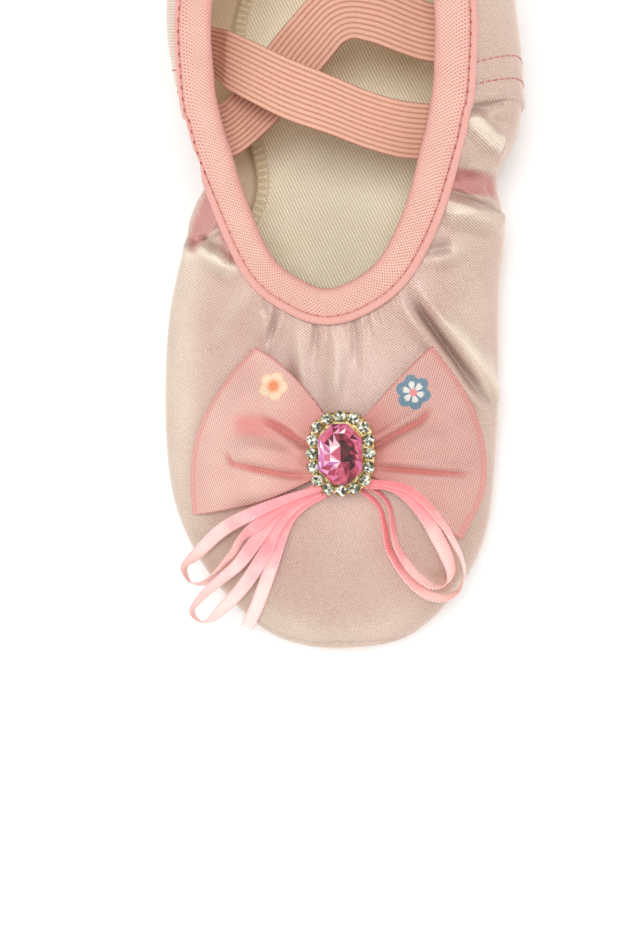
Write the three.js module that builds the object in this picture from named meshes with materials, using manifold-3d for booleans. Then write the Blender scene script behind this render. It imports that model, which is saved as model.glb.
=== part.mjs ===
// Child's satin ballet flat, one left shoe standing empty on its sole.
// Millimetres, +Z up, toe towards -Y, heel towards +Y. The origin is on the floor, at the middle of the shoe.
import * as THREE from "three";
import { ConvexGeometry } from "three/addons/geometries/ConvexGeometry.js";
import { mergeVertices } from "three/addons/utils/BufferGeometryUtils.js";
import ManifoldModule from "manifold-3d";

// Driving dimensions of the last
const SHOE_LENGTH = 176;
const BALL_WIDTH = 75;
const THROAT_HEIGHT = 25;
const HEEL_HEIGHT = 46;

// Thicknesses and clearances
const UPPER_WALL = 1.4;
const SOLE_THICKNESS = 2.2;
const INSOLE_THICKNESS = 1.2;
const GAP = 0.3;

// Sole: two flat treads on the floor, a low arch between them and a little toe spring
const TOE_SPRING = 3;
const ARCH_LIFT = 1.6;
const TOE_SPRING_START = -0.34 * SHOE_LENGTH;
const ARCH_FRONT = -0.1 * SHOE_LENGTH;
const ARCH_BACK = 0.24 * SHOE_LENGTH;
const SOLE_OVER_SEAM = 4;
const INSOLE_OVER_SEAM = 3.6;
const INSOLE_RISE = 3;
const FILLER_INSIDE_SEAM = 2;
const SEAM_SMOOTHING = 0.8;

// The tables are measured from the middle of the throat, and this centres the whole shoe on the origin
const CENTRE_X = -0.8;

// How the wall of the upper bends, as shares of its own height and reach
const RISE_SHARE = 0.55;
const CROWN_SHARE = 0.5;
const CROWN_SLOPE_SHARE = 0.6;
const TUCK_SHARE = 0.6;

// Heel panel that laps over the vamp, as a step in the wall
const PANEL_STEP = 0.5;
const PANEL_EDGE_ROW = 10.5;
const PANEL_EDGE_BLEND = 0.04;

// Binding of the collar, a plump folded band, and the narrow welt along its foot
const BINDING_WIDTH = 5.8;
const BINDING_THICKNESS = 2.6;
const BINDING_SLOPE_DEG = 34;
const BINDING_STAND_OFF = 0.75;
const BINDING_SIDES = 7;
const WELT_WIDTH = 1.4;
const WELT_HEIGHT = 0.8;
const WELT_BELOW_EDGE = 0.9;
const WELT_PLACE = 0.97;
const WELT_STAND_OFF = 0.45;
const WELT_SIDES = 4;

// Elastic straps
const STRAP_THICKNESS = 1;
const STRAP_STEPS = 22;

// Bow: two wings of gathered cloth and five lengths of narrow ribbon
const WING_THICKNESS = 0.36;
const WING_LIFT = 0.9;
const WING_FOLD_OPENING = 1.1;
const WING_FOLD_ROUND = 0.02;
const WING_KNOT_OPENING = 2.1;
const WING_PUFF = 3;
const WING_STEPS = 16;
const WING_FOLD_STEPS = [0.475, 0.49, 0.51, 0.525];
const WING_LINES = 6;
const RIBBON_WIDTH = 3;
const RIBBON_THICKNESS = 0.35;
const RIBBON_STEPS = 26;

// Brooch: a plate, a long gem and a ring of small stones
const BROOCH_X = 2.9;
const BROOCH_Y = -44.5;
const BROOCH_LIFT = 4;
const BROOCH_SLOPE_DEG = 7.3;
const BROOCH_TURN_DEG = 0;
const BROOCH_SIDES = 20;
const BROOCH_SQUARENESS = 2.6;
const PLATE_HALF_X = 6.9;
const PLATE_HALF_Y = 8.6;
const PLATE_THICKNESS = 0.8;
const GEM_HALF_X = 4.65;
const GEM_HALF_Y = 6.4;
const GEM_CUT = 3;
const GEM_RIDGE_Z = 1.1;
const GEM_GIRDLE_Z = 2.9;
const GEM_GIRDLE = 0.3;
const GEM_TABLE_Z = 4.4;
const GEM_TABLE_SHARE = 0.66;
const SEAT_HALF_X = 4.4;
const SEAT_HALF_Y = 6.15;
const SEAT_WALL = 0.5;
const SEAT_TOP = 2.2;
const STONE_COUNT = 16;
const STONE_RING_X = 6.15;
const STONE_RING_Y = 7.85;
const STONE_RADIUS = 1.15;
const STONE_HEIGHT = 1.1;
const CUP_RADIUS = 1.25;
const CUP_TOP = 1.8;

// Mesh steps
const STEPS_PER_ROW = 3;
const TUCK_STEPS = 4;
const WALL_STEPS = 7;

const halfLength = SHOE_LENGTH / 2;
const halfBall = BALL_WIDTH / 2;
const rad = THREE.MathUtils.degToRad;
const smooth = THREE.MathUtils.smoothstep;
const point = (x, y, z) => new THREE.Vector3(x, y, z);
const UP = point(0, 0, 1);

// Sections of the last from toe to heel, at its widest line. along is a share of the length from toe to heel,
// left and right are shares of the half ball width, wideZ is the height of the line, and tuck is how far the
// sole seam lies inside it.
const WIDE_SECTIONS = [
  { along: 0.0, left: 0.0, right: 0.0, wideZ: 8.5, tuck: 9 },
  { along: 0.016, left: 0.37, right: 0.37, wideZ: 8.6, tuck: 9 },
  { along: 0.058, left: 0.645, right: 0.635, wideZ: 8.8, tuck: 9 },
  { along: 0.118, left: 0.855, right: 0.81, wideZ: 9, tuck: 9.5 },
  { along: 0.185, left: 0.995, right: 0.9, wideZ: 9.3, tuck: 10 },
  { along: 0.275, left: 1.045, right: 0.94, wideZ: 9.8, tuck: 10.5 },
  { along: 0.365, left: 1.05, right: 0.945, wideZ: 10.4, tuck: 11 },
  { along: 0.455, left: 1.01, right: 0.96, wideZ: 11.4, tuck: 11.5 },
  { along: 0.525, left: 0.9, right: 0.985, wideZ: 12.6, tuck: 12 },
  { along: 0.585, left: 0.675, right: 0.94, wideZ: 14.5, tuck: 9.5 },
  { along: 0.637, left: 0.78, right: 1.06, wideZ: 17, tuck: 12.5 },
  { along: 0.705, left: 0.885, right: 1.08, wideZ: 19, tuck: 13.5 },
  { along: 0.81, left: 0.91, right: 1.015, wideZ: 20, tuck: 13 },
  { along: 0.91, left: 0.71, right: 0.79, wideZ: 20, tuck: 12 },
  { along: 0.978, left: 0.36, right: 0.43, wideZ: 20, tuck: 12 },
  { along: 1.0, left: -0.04, right: 0.04, wideZ: 20, tuck: 12 },
];

// The same sections at the collar. climb goes from the throat's height at 0 to the heel's at 1.
const COLLAR_SECTIONS = [
  { along: 0.412, left: 0.0, right: 0.0, climb: 0.0 },
  { along: 0.416, left: 0.11, right: 0.12, climb: 0.01 },
  { along: 0.427, left: 0.22, right: 0.24, climb: 0.035 },
  { along: 0.442, left: 0.33, right: 0.35, climb: 0.07 },
  { along: 0.462, left: 0.42, right: 0.44, climb: 0.105 },
  { along: 0.486, left: 0.485, right: 0.51, climb: 0.14 },
  { along: 0.513, left: 0.54, right: 0.573, climb: 0.18 },
  { along: 0.54, left: 0.587, right: 0.624, climb: 0.23 },
  { along: 0.566, left: 0.63, right: 0.664, climb: 0.285 },
  { along: 0.592, left: 0.667, right: 0.7, climb: 0.335 },
  { along: 0.623, left: 0.71, right: 0.741, climb: 0.395 },
  { along: 0.68, left: 0.75, right: 0.785, climb: 0.515 },
  { along: 0.778, left: 0.73, right: 0.78, climb: 0.715 },
  { along: 0.873, left: 0.53, right: 0.6, climb: 0.88 },
  { along: 0.928, left: 0.25, right: 0.32, climb: 0.975 },
  { along: 0.944, left: -0.03, right: 0.03, climb: 1.0 },
];

// Front strap, from the right wall over to the left one. Each row gives the edge towards the toe and the edge
// towards the heel. It arches up towards the left and drops there to its sewn end.
const STRAP_FRONT = [
  { toeX: 26.6, toeY: 17.2, toeZ: 29.8, heelX: 31.2, heelY: 27.8, heelZ: 30 },
  { toeX: 21.2, toeY: 17.2, toeZ: 26.6, heelX: 23.6, heelY: 27.6, heelZ: 30.2 },
  { toeX: 15.9, toeY: 17.4, toeZ: 27, heelX: 16, heelY: 28.6, heelZ: 30.6 },
  { toeX: 8.6, toeY: 19.1, toeZ: 29.5, heelX: 8.7, heelY: 30.8, heelZ: 31.6 },
  { toeX: 1.4, toeY: 21.6, toeZ: 32, heelX: 1.5, heelY: 33.8, heelZ: 33 },
  { toeX: -7.3, toeY: 24.6, toeZ: 33.6, heelX: -7.1, heelY: 37.4, heelZ: 34.2 },
  { toeX: -14.3, toeY: 28.2, toeZ: 33.8, heelX: -14.1, heelY: 41, heelZ: 34.3 },
  { toeX: -20, toeY: 31.7, toeZ: 32.6, heelX: -19.6, heelY: 44, heelZ: 33.2 },
  { toeX: -22.2, toeY: 34, toeZ: 30.2, heelX: -21.9, heelY: 45.4, heelZ: 30.6 },
  { toeX: -24.6, toeY: 35.8, toeZ: 28.9, heelX: -24.8, heelY: 46.4, heelZ: 29.2 },
  { toeX: -29.8, toeY: 36.6, toeZ: 29.4, heelX: -30.9, heelY: 47, heelZ: 29.6 },
];

// Back strap, from the left wall under the front strap and round to the right wall.
const STRAP_BACK = [
  { toeX: -24.8, toeY: 20.5, toeZ: 29, heelX: -28.3, heelY: 31, heelZ: 29.4 },
  { toeX: -20.2, toeY: 19, toeZ: 27, heelX: -23.5, heelY: 30.3, heelZ: 27.6 },
  { toeX: -10.8, toeY: 26.7, toeZ: 26.2, heelX: -19.5, heelY: 34.4, heelZ: 26.6 },
  { toeX: 0.1, toeY: 38, toeZ: 28, heelX: -8.4, heelY: 46.6, heelZ: 28.8 },
  { toeX: 4.6, toeY: 42, toeZ: 29.4, heelX: 0.6, heelY: 53.6, heelZ: 30.6 },
  { toeX: 9.4, toeY: 41.4, toeZ: 29.6, heelX: 11.4, heelY: 53.2, heelZ: 31 },
  { toeX: 21.8, toeY: 36.9, toeZ: 29, heelX: 22.8, heelY: 48.6, heelZ: 30.4 },
  { toeX: 33.4, toeY: 36.4, toeZ: 31, heelX: 33.8, heelY: 48, heelZ: 31.2 },
];

// Wings of the bow, a row for each fold line: where it leaves the knot, where it reaches the outer fold and
// how far it bulges along the shoe between them.
const WING_LEFT = [
  { knotX: 1.6, knotY: -40.5, edgeX: -15.7, edgeY: -21.9, bulge: 2.5 },
  { knotX: 1.6, knotY: -42.3, edgeX: -23.5, edgeY: -30.2, bulge: 1 },
  { knotX: 1.6, knotY: -44, edgeX: -29.3, edgeY: -40, bulge: 0 },
  { knotX: 1.6, knotY: -45.8, edgeX: -31.3, edgeY: -49.5, bulge: -1 },
  { knotX: 1.6, knotY: -47.5, edgeX: -31.3, edgeY: -58, bulge: -2 },
];
const WING_RIGHT = [
  { knotX: 4.2, knotY: -47.5, edgeX: 27.6, edgeY: -63.2, bulge: 2 },
  { knotX: 4.2, knotY: -45.8, edgeX: 32.4, edgeY: -53, bulge: 1 },
  { knotX: 4.2, knotY: -44, edgeX: 32.6, edgeY: -42.5, bulge: 0 },
  { knotX: 4.2, knotY: -42.3, edgeX: 29, edgeY: -32.3, bulge: 0 },
  { knotX: 4.2, knotY: -40.5, edgeX: 22, edgeY: -22.2, bulge: 0.5 },
];

// Narrow ribbons: places along the middle line, and the lean in degrees from lying flat.
const LOOP_LEFT_UPPER = [
  { x: -1.2, y: -51.8, z: 23.7, lean: 0 },
  { x: -8.8, y: -54.2, z: 23.6, lean: 4 },
  { x: -16.4, y: -57.3, z: 23.6, lean: 0 },
  { x: -24, y: -61.1, z: 21.1, lean: 8 },
  { x: -30.6, y: -66.5, z: 16.6, lean: 40 },
  { x: -34.2, y: -69.8, z: 13.8, lean: 75 },
  { x: -33.2, y: -73, z: 13, lean: 95 },
  { x: -30.4, y: -73.4, z: 13.4, lean: 110 },
  { x: -26.8, y: -71.4, z: 16.2, lean: 112 },
  { x: -22.2, y: -66.8, z: 20, lean: 116 },
  { x: -19.5, y: -62.9, z: 22.33, lean: 112 },
  { x: -15.4, y: -59.5, z: 22.2, lean: 166 },
  { x: -11, y: -56.2, z: 22.4, lean: 177 },
  { x: -3.2, y: -51.8, z: 22.9, lean: 178 },
];
const LOOP_LEFT_LOWER = [
  { x: -1.6, y: -52, z: 22.2, lean: 0 },
  { x: -6.1, y: -54, z: 22, lean: 0 },
  { x: -11.6, y: -57.4, z: 21.4, lean: 2 },
  { x: -16.7, y: -63.6, z: 20.65, lean: 10 },
  { x: -20.8, y: -68.6, z: 18.9, lean: 28 },
  { x: -24.9, y: -72, z: 17.2, lean: 45 },
  { x: -29.2, y: -75.4, z: 15, lean: 60 },
  { x: -32.6, y: -79.4, z: 13, lean: 80 },
  { x: -31, y: -82, z: 12.2, lean: 95 },
  { x: -28.6, y: -81.6, z: 12.4, lean: 115 },
  { x: -25.6, y: -78.9, z: 13.6, lean: 140 },
  { x: -21.9, y: -75.5, z: 15.9, lean: 155 },
  { x: -18.2, y: -71.2, z: 18.2, lean: 165 },
  { x: -14.6, y: -65.6, z: 19.4, lean: 176 },
  { x: -12.2, y: -61, z: 20.5, lean: 178 },
  { x: -8.3, y: -56.6, z: 21.2, lean: 180 },
  { x: -2.2, y: -53, z: 21.6, lean: 180 },
];
const TAIL_LEFT = [
  { x: -1.2, y: -53.4, z: 20.95, lean: 0 },
  { x: -5.4, y: -55.6, z: 20.75, lean: 0 },
  { x: -8.6, y: -58.2, z: 20.2, lean: 0 },
  { x: -10.6, y: -61.4, z: 19.7, lean: 0 },
  { x: -12.2, y: -65.2, z: 18.9, lean: 3 },
  { x: -14.4, y: -70.8, z: 17.6, lean: 6 },
  { x: -17.2, y: -77.4, z: 15.2, lean: 12 },
  { x: -20.4, y: -83.2, z: 11.6, lean: 20 },
];
const LOOP_RIGHT_OUTER = [
  { x: 5, y: -51.6, z: 21.8, lean: 35 },
  { x: 8, y: -53.6, z: 21.7, lean: 52 },
  { x: 10.4, y: -56.2, z: 21.3, lean: 65 },
  { x: 11.5, y: -60.6, z: 20.8, lean: 68 },
  { x: 12.2, y: -64.8, z: 20.1, lean: 65 },
  { x: 14.2, y: -68.6, z: 19.2, lean: 60 },
  { x: 16.6, y: -71.9, z: 18.1, lean: 55 },
  { x: 19.8, y: -74.8, z: 16.5, lean: 52 },
  { x: 23.4, y: -75.8, z: 15, lean: 60 },
  { x: 26.6, y: -74.6, z: 14.4, lean: 75 },
  { x: 28.2, y: -71.2, z: 15.4, lean: 90 },
  { x: 27.9, y: -67.4, z: 18, lean: 100 },
  { x: 26.3, y: -63.6, z: 20.6, lean: 110 },
  { x: 24, y: -59.6, z: 22.6, lean: 115 },
  { x: 20.4, y: -55.2, z: 24, lean: 125 },
  { x: 15.6, y: -51.8, z: 24.8, lean: 145 },
  { x: 7.6, y: -50.7, z: 23.75, lean: 174 },
];
const LOOP_RIGHT_INNER = [
  { x: 7.8, y: -51.6, z: 21.65, lean: 30 },
  { x: 10.6, y: -53.2, z: 21.8, lean: 55 },
  { x: 12.6, y: -56, z: 21.7, lean: 66 },
  { x: 13.3, y: -60.4, z: 21.1, lean: 68 },
  { x: 14, y: -64.4, z: 20.4, lean: 66 },
  { x: 15.8, y: -67.8, z: 19.5, lean: 60 },
  { x: 18.2, y: -70.8, z: 18.4, lean: 58 },
  { x: 21.4, y: -73, z: 17.2, lean: 65 },
  { x: 24.4, y: -72.6, z: 16.6, lean: 90 },
  { x: 25.4, y: -70, z: 17, lean: 125 },
  { x: 24.6, y: -66.8, z: 18.2, lean: 150 },
  { x: 23, y: -63.2, z: 19.6, lean: 168 },
  { x: 20.8, y: -59, z: 21.6, lean: 176 },
  { x: 17.6, y: -55, z: 22.8, lean: 180 },
  { x: 13.2, y: -52, z: 23.4, lean: 180 },
  { x: 7.6, y: -51.5, z: 23.15, lean: 180 },
];

const LAST_ROW = WIDE_SECTIONS.length - 1;
const ROWS_AROUND = 2 * LAST_ROW;

// Height of the sole's underside above the floor at a place along the shoe.
function soleLift(y) {
  const spring = TOE_SPRING * Math.pow(smooth(-y, -TOE_SPRING_START, halfLength + 6), 1.4);
  const alongArch = THREE.MathUtils.clamp((y - ARCH_FRONT) / (ARCH_BACK - ARCH_FRONT), 0, 1);
  return spring + ARCH_LIFT * Math.sin(Math.PI * alongArch) ** 2;
}

// The sections as a closed loop: toe to heel along the right side, then heel to toe along the left.
const loopRows = Array.from({ length: ROWS_AROUND }, (_, row) => {
  const onRight = row <= LAST_ROW;
  const section = onRight ? row : ROWS_AROUND - row;
  const [wide, collar] = [WIDE_SECTIONS[section], COLLAR_SECTIONS[section]];
  const place = (s, z) => {
    const share = onRight ? s.right : -s.left;
    return point(share * halfBall, (s.along - 0.5) * SHOE_LENGTH, z);
  };
  const collarZ = THROAT_HEIGHT + (HEEL_HEIGHT - THROAT_HEIGHT) * collar.climb;
  return { wide: place(wide, wide.wideZ), collar: place(collar, collarZ), tuck: point(wide.tuck, 0, 0) };
});

const loopCurve = (column) =>
  new THREE.CatmullRomCurve3(
    loopRows.map((row) => row[column]),
    true,
    "catmullrom",
  );
const wideLoop = loopCurve("wide");
const collarLoop = loopCurve("collar");
const tuckLoop = loopCurve("tuck");
const around = (row) => THREE.MathUtils.euclideanModulo(row / ROWS_AROUND, 1);

// Unit vector in plan that points into the shoe, square to a loop.
function inwardNormal(loop, row) {
  const along = loop.getTangent(around(row));
  return point(-along.y, along.x, 0).normalize();
}

// Sets a point to the height of the upper's underside over the sole.
const onSole = (p) => p.setZ(soleLift(p.y) + SOLE_THICKNESS + GAP);

// Where the upper meets the sole, moved outwards by a margin. It follows the widest line's general direction,
// so that the seam runs smoothly past the waist.
function seamPoint(row, outwards = 0) {
  const wide = wideLoop.getPoint(around(row));
  const tuck = tuckLoop.getPoint(around(row)).x;
  const behind = wideLoop.getPoint(around(row - SEAM_SMOOTHING));
  const along = wideLoop.getPoint(around(row + SEAM_SMOOTHING)).sub(behind);
  const inwards = point(-along.y, along.x, 0).normalize();
  return onSole(wide.addScaledVector(inwards, tuck - outwards));
}

// The wall at one place around the shoe, as two curves: out to the widest line, then up to the collar.
function wallCurves(row) {
  const wide = wideLoop.getPoint(around(row));
  const collar = collarLoop.getPoint(around(row));
  const seam = seamPoint(row);
  const underfoot = onSole(seam.clone().lerp(wide, TUCK_SHARE));
  const turn = wide.clone().setZ(wide.z - TUCK_SHARE * (wide.z - seam.z));
  const outwards = point(wide.x - collar.x, wide.y - collar.y, 0);
  const reach = outwards.length();
  const chord = wide.distanceTo(collar);
  const slope = CROWN_SLOPE_SHARE * Math.atan2(collar.z - wide.z, reach);
  const rise = wide.clone().setZ(wide.z + RISE_SHARE * (collar.z - wide.z));
  const crown = collar.clone().addScaledVector(outwards.normalize(), CROWN_SHARE * chord * Math.cos(slope));
  crown.z -= CROWN_SHARE * chord * Math.sin(slope);
  return {
    tuck: new THREE.CubicBezierCurve3(seam, underfoot, turn, wide),
    wall: new THREE.CubicBezierCurve3(wide, rise, crown, collar),
  };
}

// A point on the vamp's face. Height runs from -1 at the sole seam, past 0 at the widest line, to the collar.
function facePoint(row, height) {
  const { tuck, wall } = wallCurves(row);
  return height < 0 ? tuck.getPoint(1 + height) : wall.getPoint(height);
}

// Outward normal of the face, from its two tangents.
function faceNormal(row, height) {
  const step = 0.02;
  const low = Math.max(height - step, -1);
  const high = Math.min(height + step, 1);
  const up = facePoint(row, high).sub(facePoint(row, low));
  const along = facePoint(row + step, height).sub(facePoint(row - step, height));
  return along.cross(up).normalize();
}

// How far the heel panel stands out of the vamp's face. It thins out where it turns under the foot.
function panelStep(row, height) {
  const fromToe = row <= LAST_ROW ? row : ROWS_AROUND - row;
  const lapped = smooth(fromToe, PANEL_EDGE_ROW - PANEL_EDGE_BLEND, PANEL_EDGE_ROW + PANEL_EDGE_BLEND);
  return PANEL_STEP * lapped * smooth(height, -0.7, -0.2);
}

const offsetPoint = (row, height, by) => facePoint(row, height).addScaledVector(faceNormal(row, height), by);
const outerPoint = (row, height) => offsetPoint(row, height, panelStep(row, height));
const innerPoint = (row, height) => offsetPoint(row, height, -UPPER_WALL);

// Rows around the shoe, with a close pair at each edge of the heel panel.
const evenRows = Array.from({ length: ROWS_AROUND * STEPS_PER_ROW }, (_, i) => i / STEPS_PER_ROW);
const panelRows = [PANEL_EDGE_ROW, ROWS_AROUND - PANEL_EDGE_ROW].flatMap((row) => [
  row - PANEL_EDGE_BLEND,
  row + PANEL_EDGE_BLEND,
]);
const rowsAround = [...evenRows, ...panelRows].sort((a, b) => a - b);
const plateRows = evenRows.filter((row) => row > 0 && row < LAST_ROW);

// Heights of the wall's grid lines, closer together where it bends most.
const wallHeights = [
  ...Array.from({ length: TUCK_STEPS }, (_, i) => i / TUCK_STEPS - 1),
  ...Array.from({ length: WALL_STEPS + 1 }, (_, i) => i / WALL_STEPS),
];

// A closed solid from loops of points: each section is a closed ring, and the last section joins the first.
function ringSolid(sections) {
  const count = sections[0].length;
  const index = [];
  sections.forEach((_, i) => {
    const next = (i + 1) % sections.length;
    for (let k = 0; k < count; k++) {
      const [a, b] = [i * count + k, i * count + ((k + 1) % count)];
      const [c, d] = [next * count + k, next * count + ((k + 1) % count)];
      index.push(a, c, b, b, c, d);
    }
  });
  return new THREE.BufferGeometry().setFromPoints(sections.flat()).setIndex(index);
}

// A closed solid between two grids of points of the same size, top and bottom.
function slabSolid(top, bottom) {
  const [rows, columns] = [top.length, top[0].length];
  const under = rows * columns;
  const at = (i, j) => i * columns + j;
  const index = [];
  for (let i = 0; i + 1 < rows; i++) {
    for (let j = 0; j + 1 < columns; j++) {
      const [a, b, c, d] = [at(i, j), at(i, j + 1), at(i + 1, j), at(i + 1, j + 1)];
      index.push(a, b, c, b, d, c);
      index.push(under + a, under + c, under + b, under + b, under + c, under + d);
    }
  }
  const border = [
    ...Array.from({ length: columns - 1 }, (_, j) => at(0, j)),
    ...Array.from({ length: rows - 1 }, (_, i) => at(i, columns - 1)),
    ...Array.from({ length: columns - 1 }, (_, j) => at(rows - 1, columns - 1 - j)),
    ...Array.from({ length: rows - 1 }, (_, i) => at(rows - 1 - i, 0)),
  ];
  border.forEach((a, k) => {
    const b = border[(k + 1) % border.length];
    index.push(a, under + a, b, b, under + a, under + b);
  });
  return new THREE.BufferGeometry().setFromPoints([...top.flat(), ...bottom.flat()]).setIndex(index);
}

// Solids joined into one body.
const manifold = await ManifoldModule();
manifold.setup();
function joined(geometries) {
  const solids = geometries.map((geometry) => {
    const bare = new THREE.BufferGeometry().setAttribute("position", geometry.attributes.position);
    const merged = mergeVertices(geometry.index ? bare.setIndex(geometry.index) : bare, 1e-5);
    const vertProperties = merged.attributes.position.array;
    const triVerts = new Uint32Array(merged.index.array);
    return new manifold.Manifold(new manifold.Mesh({ numProp: 3, vertProperties, triVerts }));
  });
  const result = manifold.Manifold.union(solids).getMesh();
  const geometry = new THREE.BufferGeometry();
  geometry.setAttribute("position", new THREE.BufferAttribute(new Float32Array(result.vertProperties), 3));
  return geometry.setIndex([...result.triVerts]);
}

// Upper: one hollow wall all round, open at the collar and over the sole
function upperGeometry() {
  return ringSolid(
    rowsAround.map((row) => [
      ...wallHeights.map((height) => outerPoint(row, height)),
      ...wallHeights.map((height) => innerPoint(row, height)).reverse(),
    ]),
  );
}

// A rounded section of a band that runs round the collar, in its own two directions.
function ovalSection(centre, across, through, width, thickness, sides) {
  return Array.from({ length: sides }, (_, k) => {
    const turn = (2 * Math.PI * (k + 0.5)) / sides;
    return centre
      .clone()
      .addScaledVector(across, (0.5 * width * Math.cos(turn)) / Math.cos(Math.PI / sides))
      .addScaledVector(through, (0.5 * thickness * Math.sin(turn)) / Math.cos(Math.PI / sides));
  });
}

// Binding: a folded band that stands on the collar's edge and leans inwards
function bindingGeometry() {
  const slope = rad(BINDING_SLOPE_DEG);
  return ringSolid(
    rowsAround.map((row) => {
      const inwards = inwardNormal(collarLoop, row);
      const across = inwards.clone().multiplyScalar(Math.cos(slope)).addScaledVector(UP, Math.sin(slope));
      const through = inwards.clone().multiplyScalar(-Math.sin(slope)).addScaledVector(UP, Math.cos(slope));
      const edge = collarLoop.getPoint(around(row)).addScaledVector(faceNormal(row, 1), -UPPER_WALL / 2);
      const centre = edge.addScaledVector(across, BINDING_WIDTH / 2 + BINDING_STAND_OFF);
      return ovalSection(centre, across, through, BINDING_WIDTH, BINDING_THICKNESS, BINDING_SIDES).reverse();
    }),
  );
}

// Welt: a narrow cord of cloth along the foot of the binding
function weltGeometry() {
  return ringSolid(
    rowsAround.map((row) => {
      const normal = faceNormal(row, WELT_PLACE);
      const up = facePoint(row, 1).sub(facePoint(row, WELT_PLACE)).normalize();
      const across = up.addScaledVector(normal, -up.dot(normal)).normalize();
      const centre = outerPoint(row, 1).addScaledVector(across, -WELT_BELOW_EDGE);
      centre.addScaledVector(normal, WELT_STAND_OFF + WELT_HEIGHT / 2);
      return ovalSection(centre, across, normal, WELT_WIDTH, WELT_HEIGHT, WELT_SIDES).reverse();
    }),
  );
}

// A flat plate under the foot: rungs from the left edge to the right edge, from toe to heel.
function footPlate(edgeOutwards, bottomAbove, topAbove) {
  const level = (row, above) => {
    const p = seamPoint(row, edgeOutwards);
    return p.setZ(soleLift(p.y) + above);
  };
  const rungs = (above) => plateRows.map((row) => [level(ROWS_AROUND - row, above), level(row, above)]);
  return slabSolid(rungs(topAbove), rungs(bottomAbove));
}

// Insole: a plate over the turned-in edge of the upper, with a thicker middle that fills the opening below it
function insoleGeometry() {
  const underside = SOLE_THICKNESS + GAP + INSOLE_RISE;
  const plate = footPlate(INSOLE_OVER_SEAM, underside, underside + INSOLE_THICKNESS);
  const filler = footPlate(-FILLER_INSIDE_SEAM, SOLE_THICKNESS + GAP, underside + INSOLE_THICKNESS / 2);
  return joined([plate, filler]);
}

// A band of cloth between two edge lines, with its thickness to both sides.
function ruledBand(leftEdge, rightEdge, thickness, steps) {
  const rows = Array.from({ length: steps + 1 }, (_, i) => {
    const t = i / steps;
    const [left, right] = [leftEdge.getPoint(t), rightEdge.getPoint(t)];
    const along = leftEdge.getTangent(t).add(rightEdge.getTangent(t));
    const through = right.clone().sub(left).cross(along).setLength(thickness / 2);
    return { left, right, through };
  });
  const face = (side) =>
    rows.map(({ left, right, through }) => [
      left.clone().addScaledVector(through, side),
      right.clone().addScaledVector(through, side),
    ]);
  return slabSolid(face(1), face(-1));
}

const openCurve = (points) => new THREE.CatmullRomCurve3(points, false, "catmullrom");

// Elastic strap: both edges are read from the strap's table
function strapGeometry(rows) {
  const toeEdge = openCurve(rows.map((r) => point(r.toeX, r.toeY, r.toeZ)));
  const heelEdge = openCurve(rows.map((r) => point(r.heelX, r.heelY, r.heelZ)));
  return ruledBand(toeEdge, heelEdge, STRAP_THICKNESS, STRAP_STEPS);
}

// Narrow ribbon: a middle line and how far the ribbon leans over from lying flat
function ribbonGeometry(rows) {
  const middle = openCurve(rows.map((r) => point(r.x, r.y, r.z)));
  const lean = openCurve(rows.map((r) => point(r.lean, 0, 0)));
  const edge = (side) =>
    openCurve(
      Array.from({ length: RIBBON_STEPS + 1 }, (_, i) => {
        const t = i / RIBBON_STEPS;
        const along = middle.getTangent(t);
        const level = along.clone().cross(UP).normalize();
        const upright = level.clone().cross(along);
        const angle = rad(lean.getPoint(t).x);
        const across = level.multiplyScalar(Math.cos(angle)).addScaledVector(upright, Math.sin(angle));
        return middle.getPoint(t).addScaledVector(across, (side * RIBBON_WIDTH) / 2);
      }),
    );
  return ruledBand(edge(-1), edge(1), RIBBON_THICKNESS, RIBBON_STEPS);
}

// Height of the vamp's outer face under a place of the bow.
const faceFinder = new THREE.Raycaster();
function vampHeight(upper, x, y) {
  faceFinder.set(point(x, y, 2 * HEEL_HEIGHT), point(0, 0, -1));
  return faceFinder.intersectObject(upper, false)[0].point.z;
}

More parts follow.
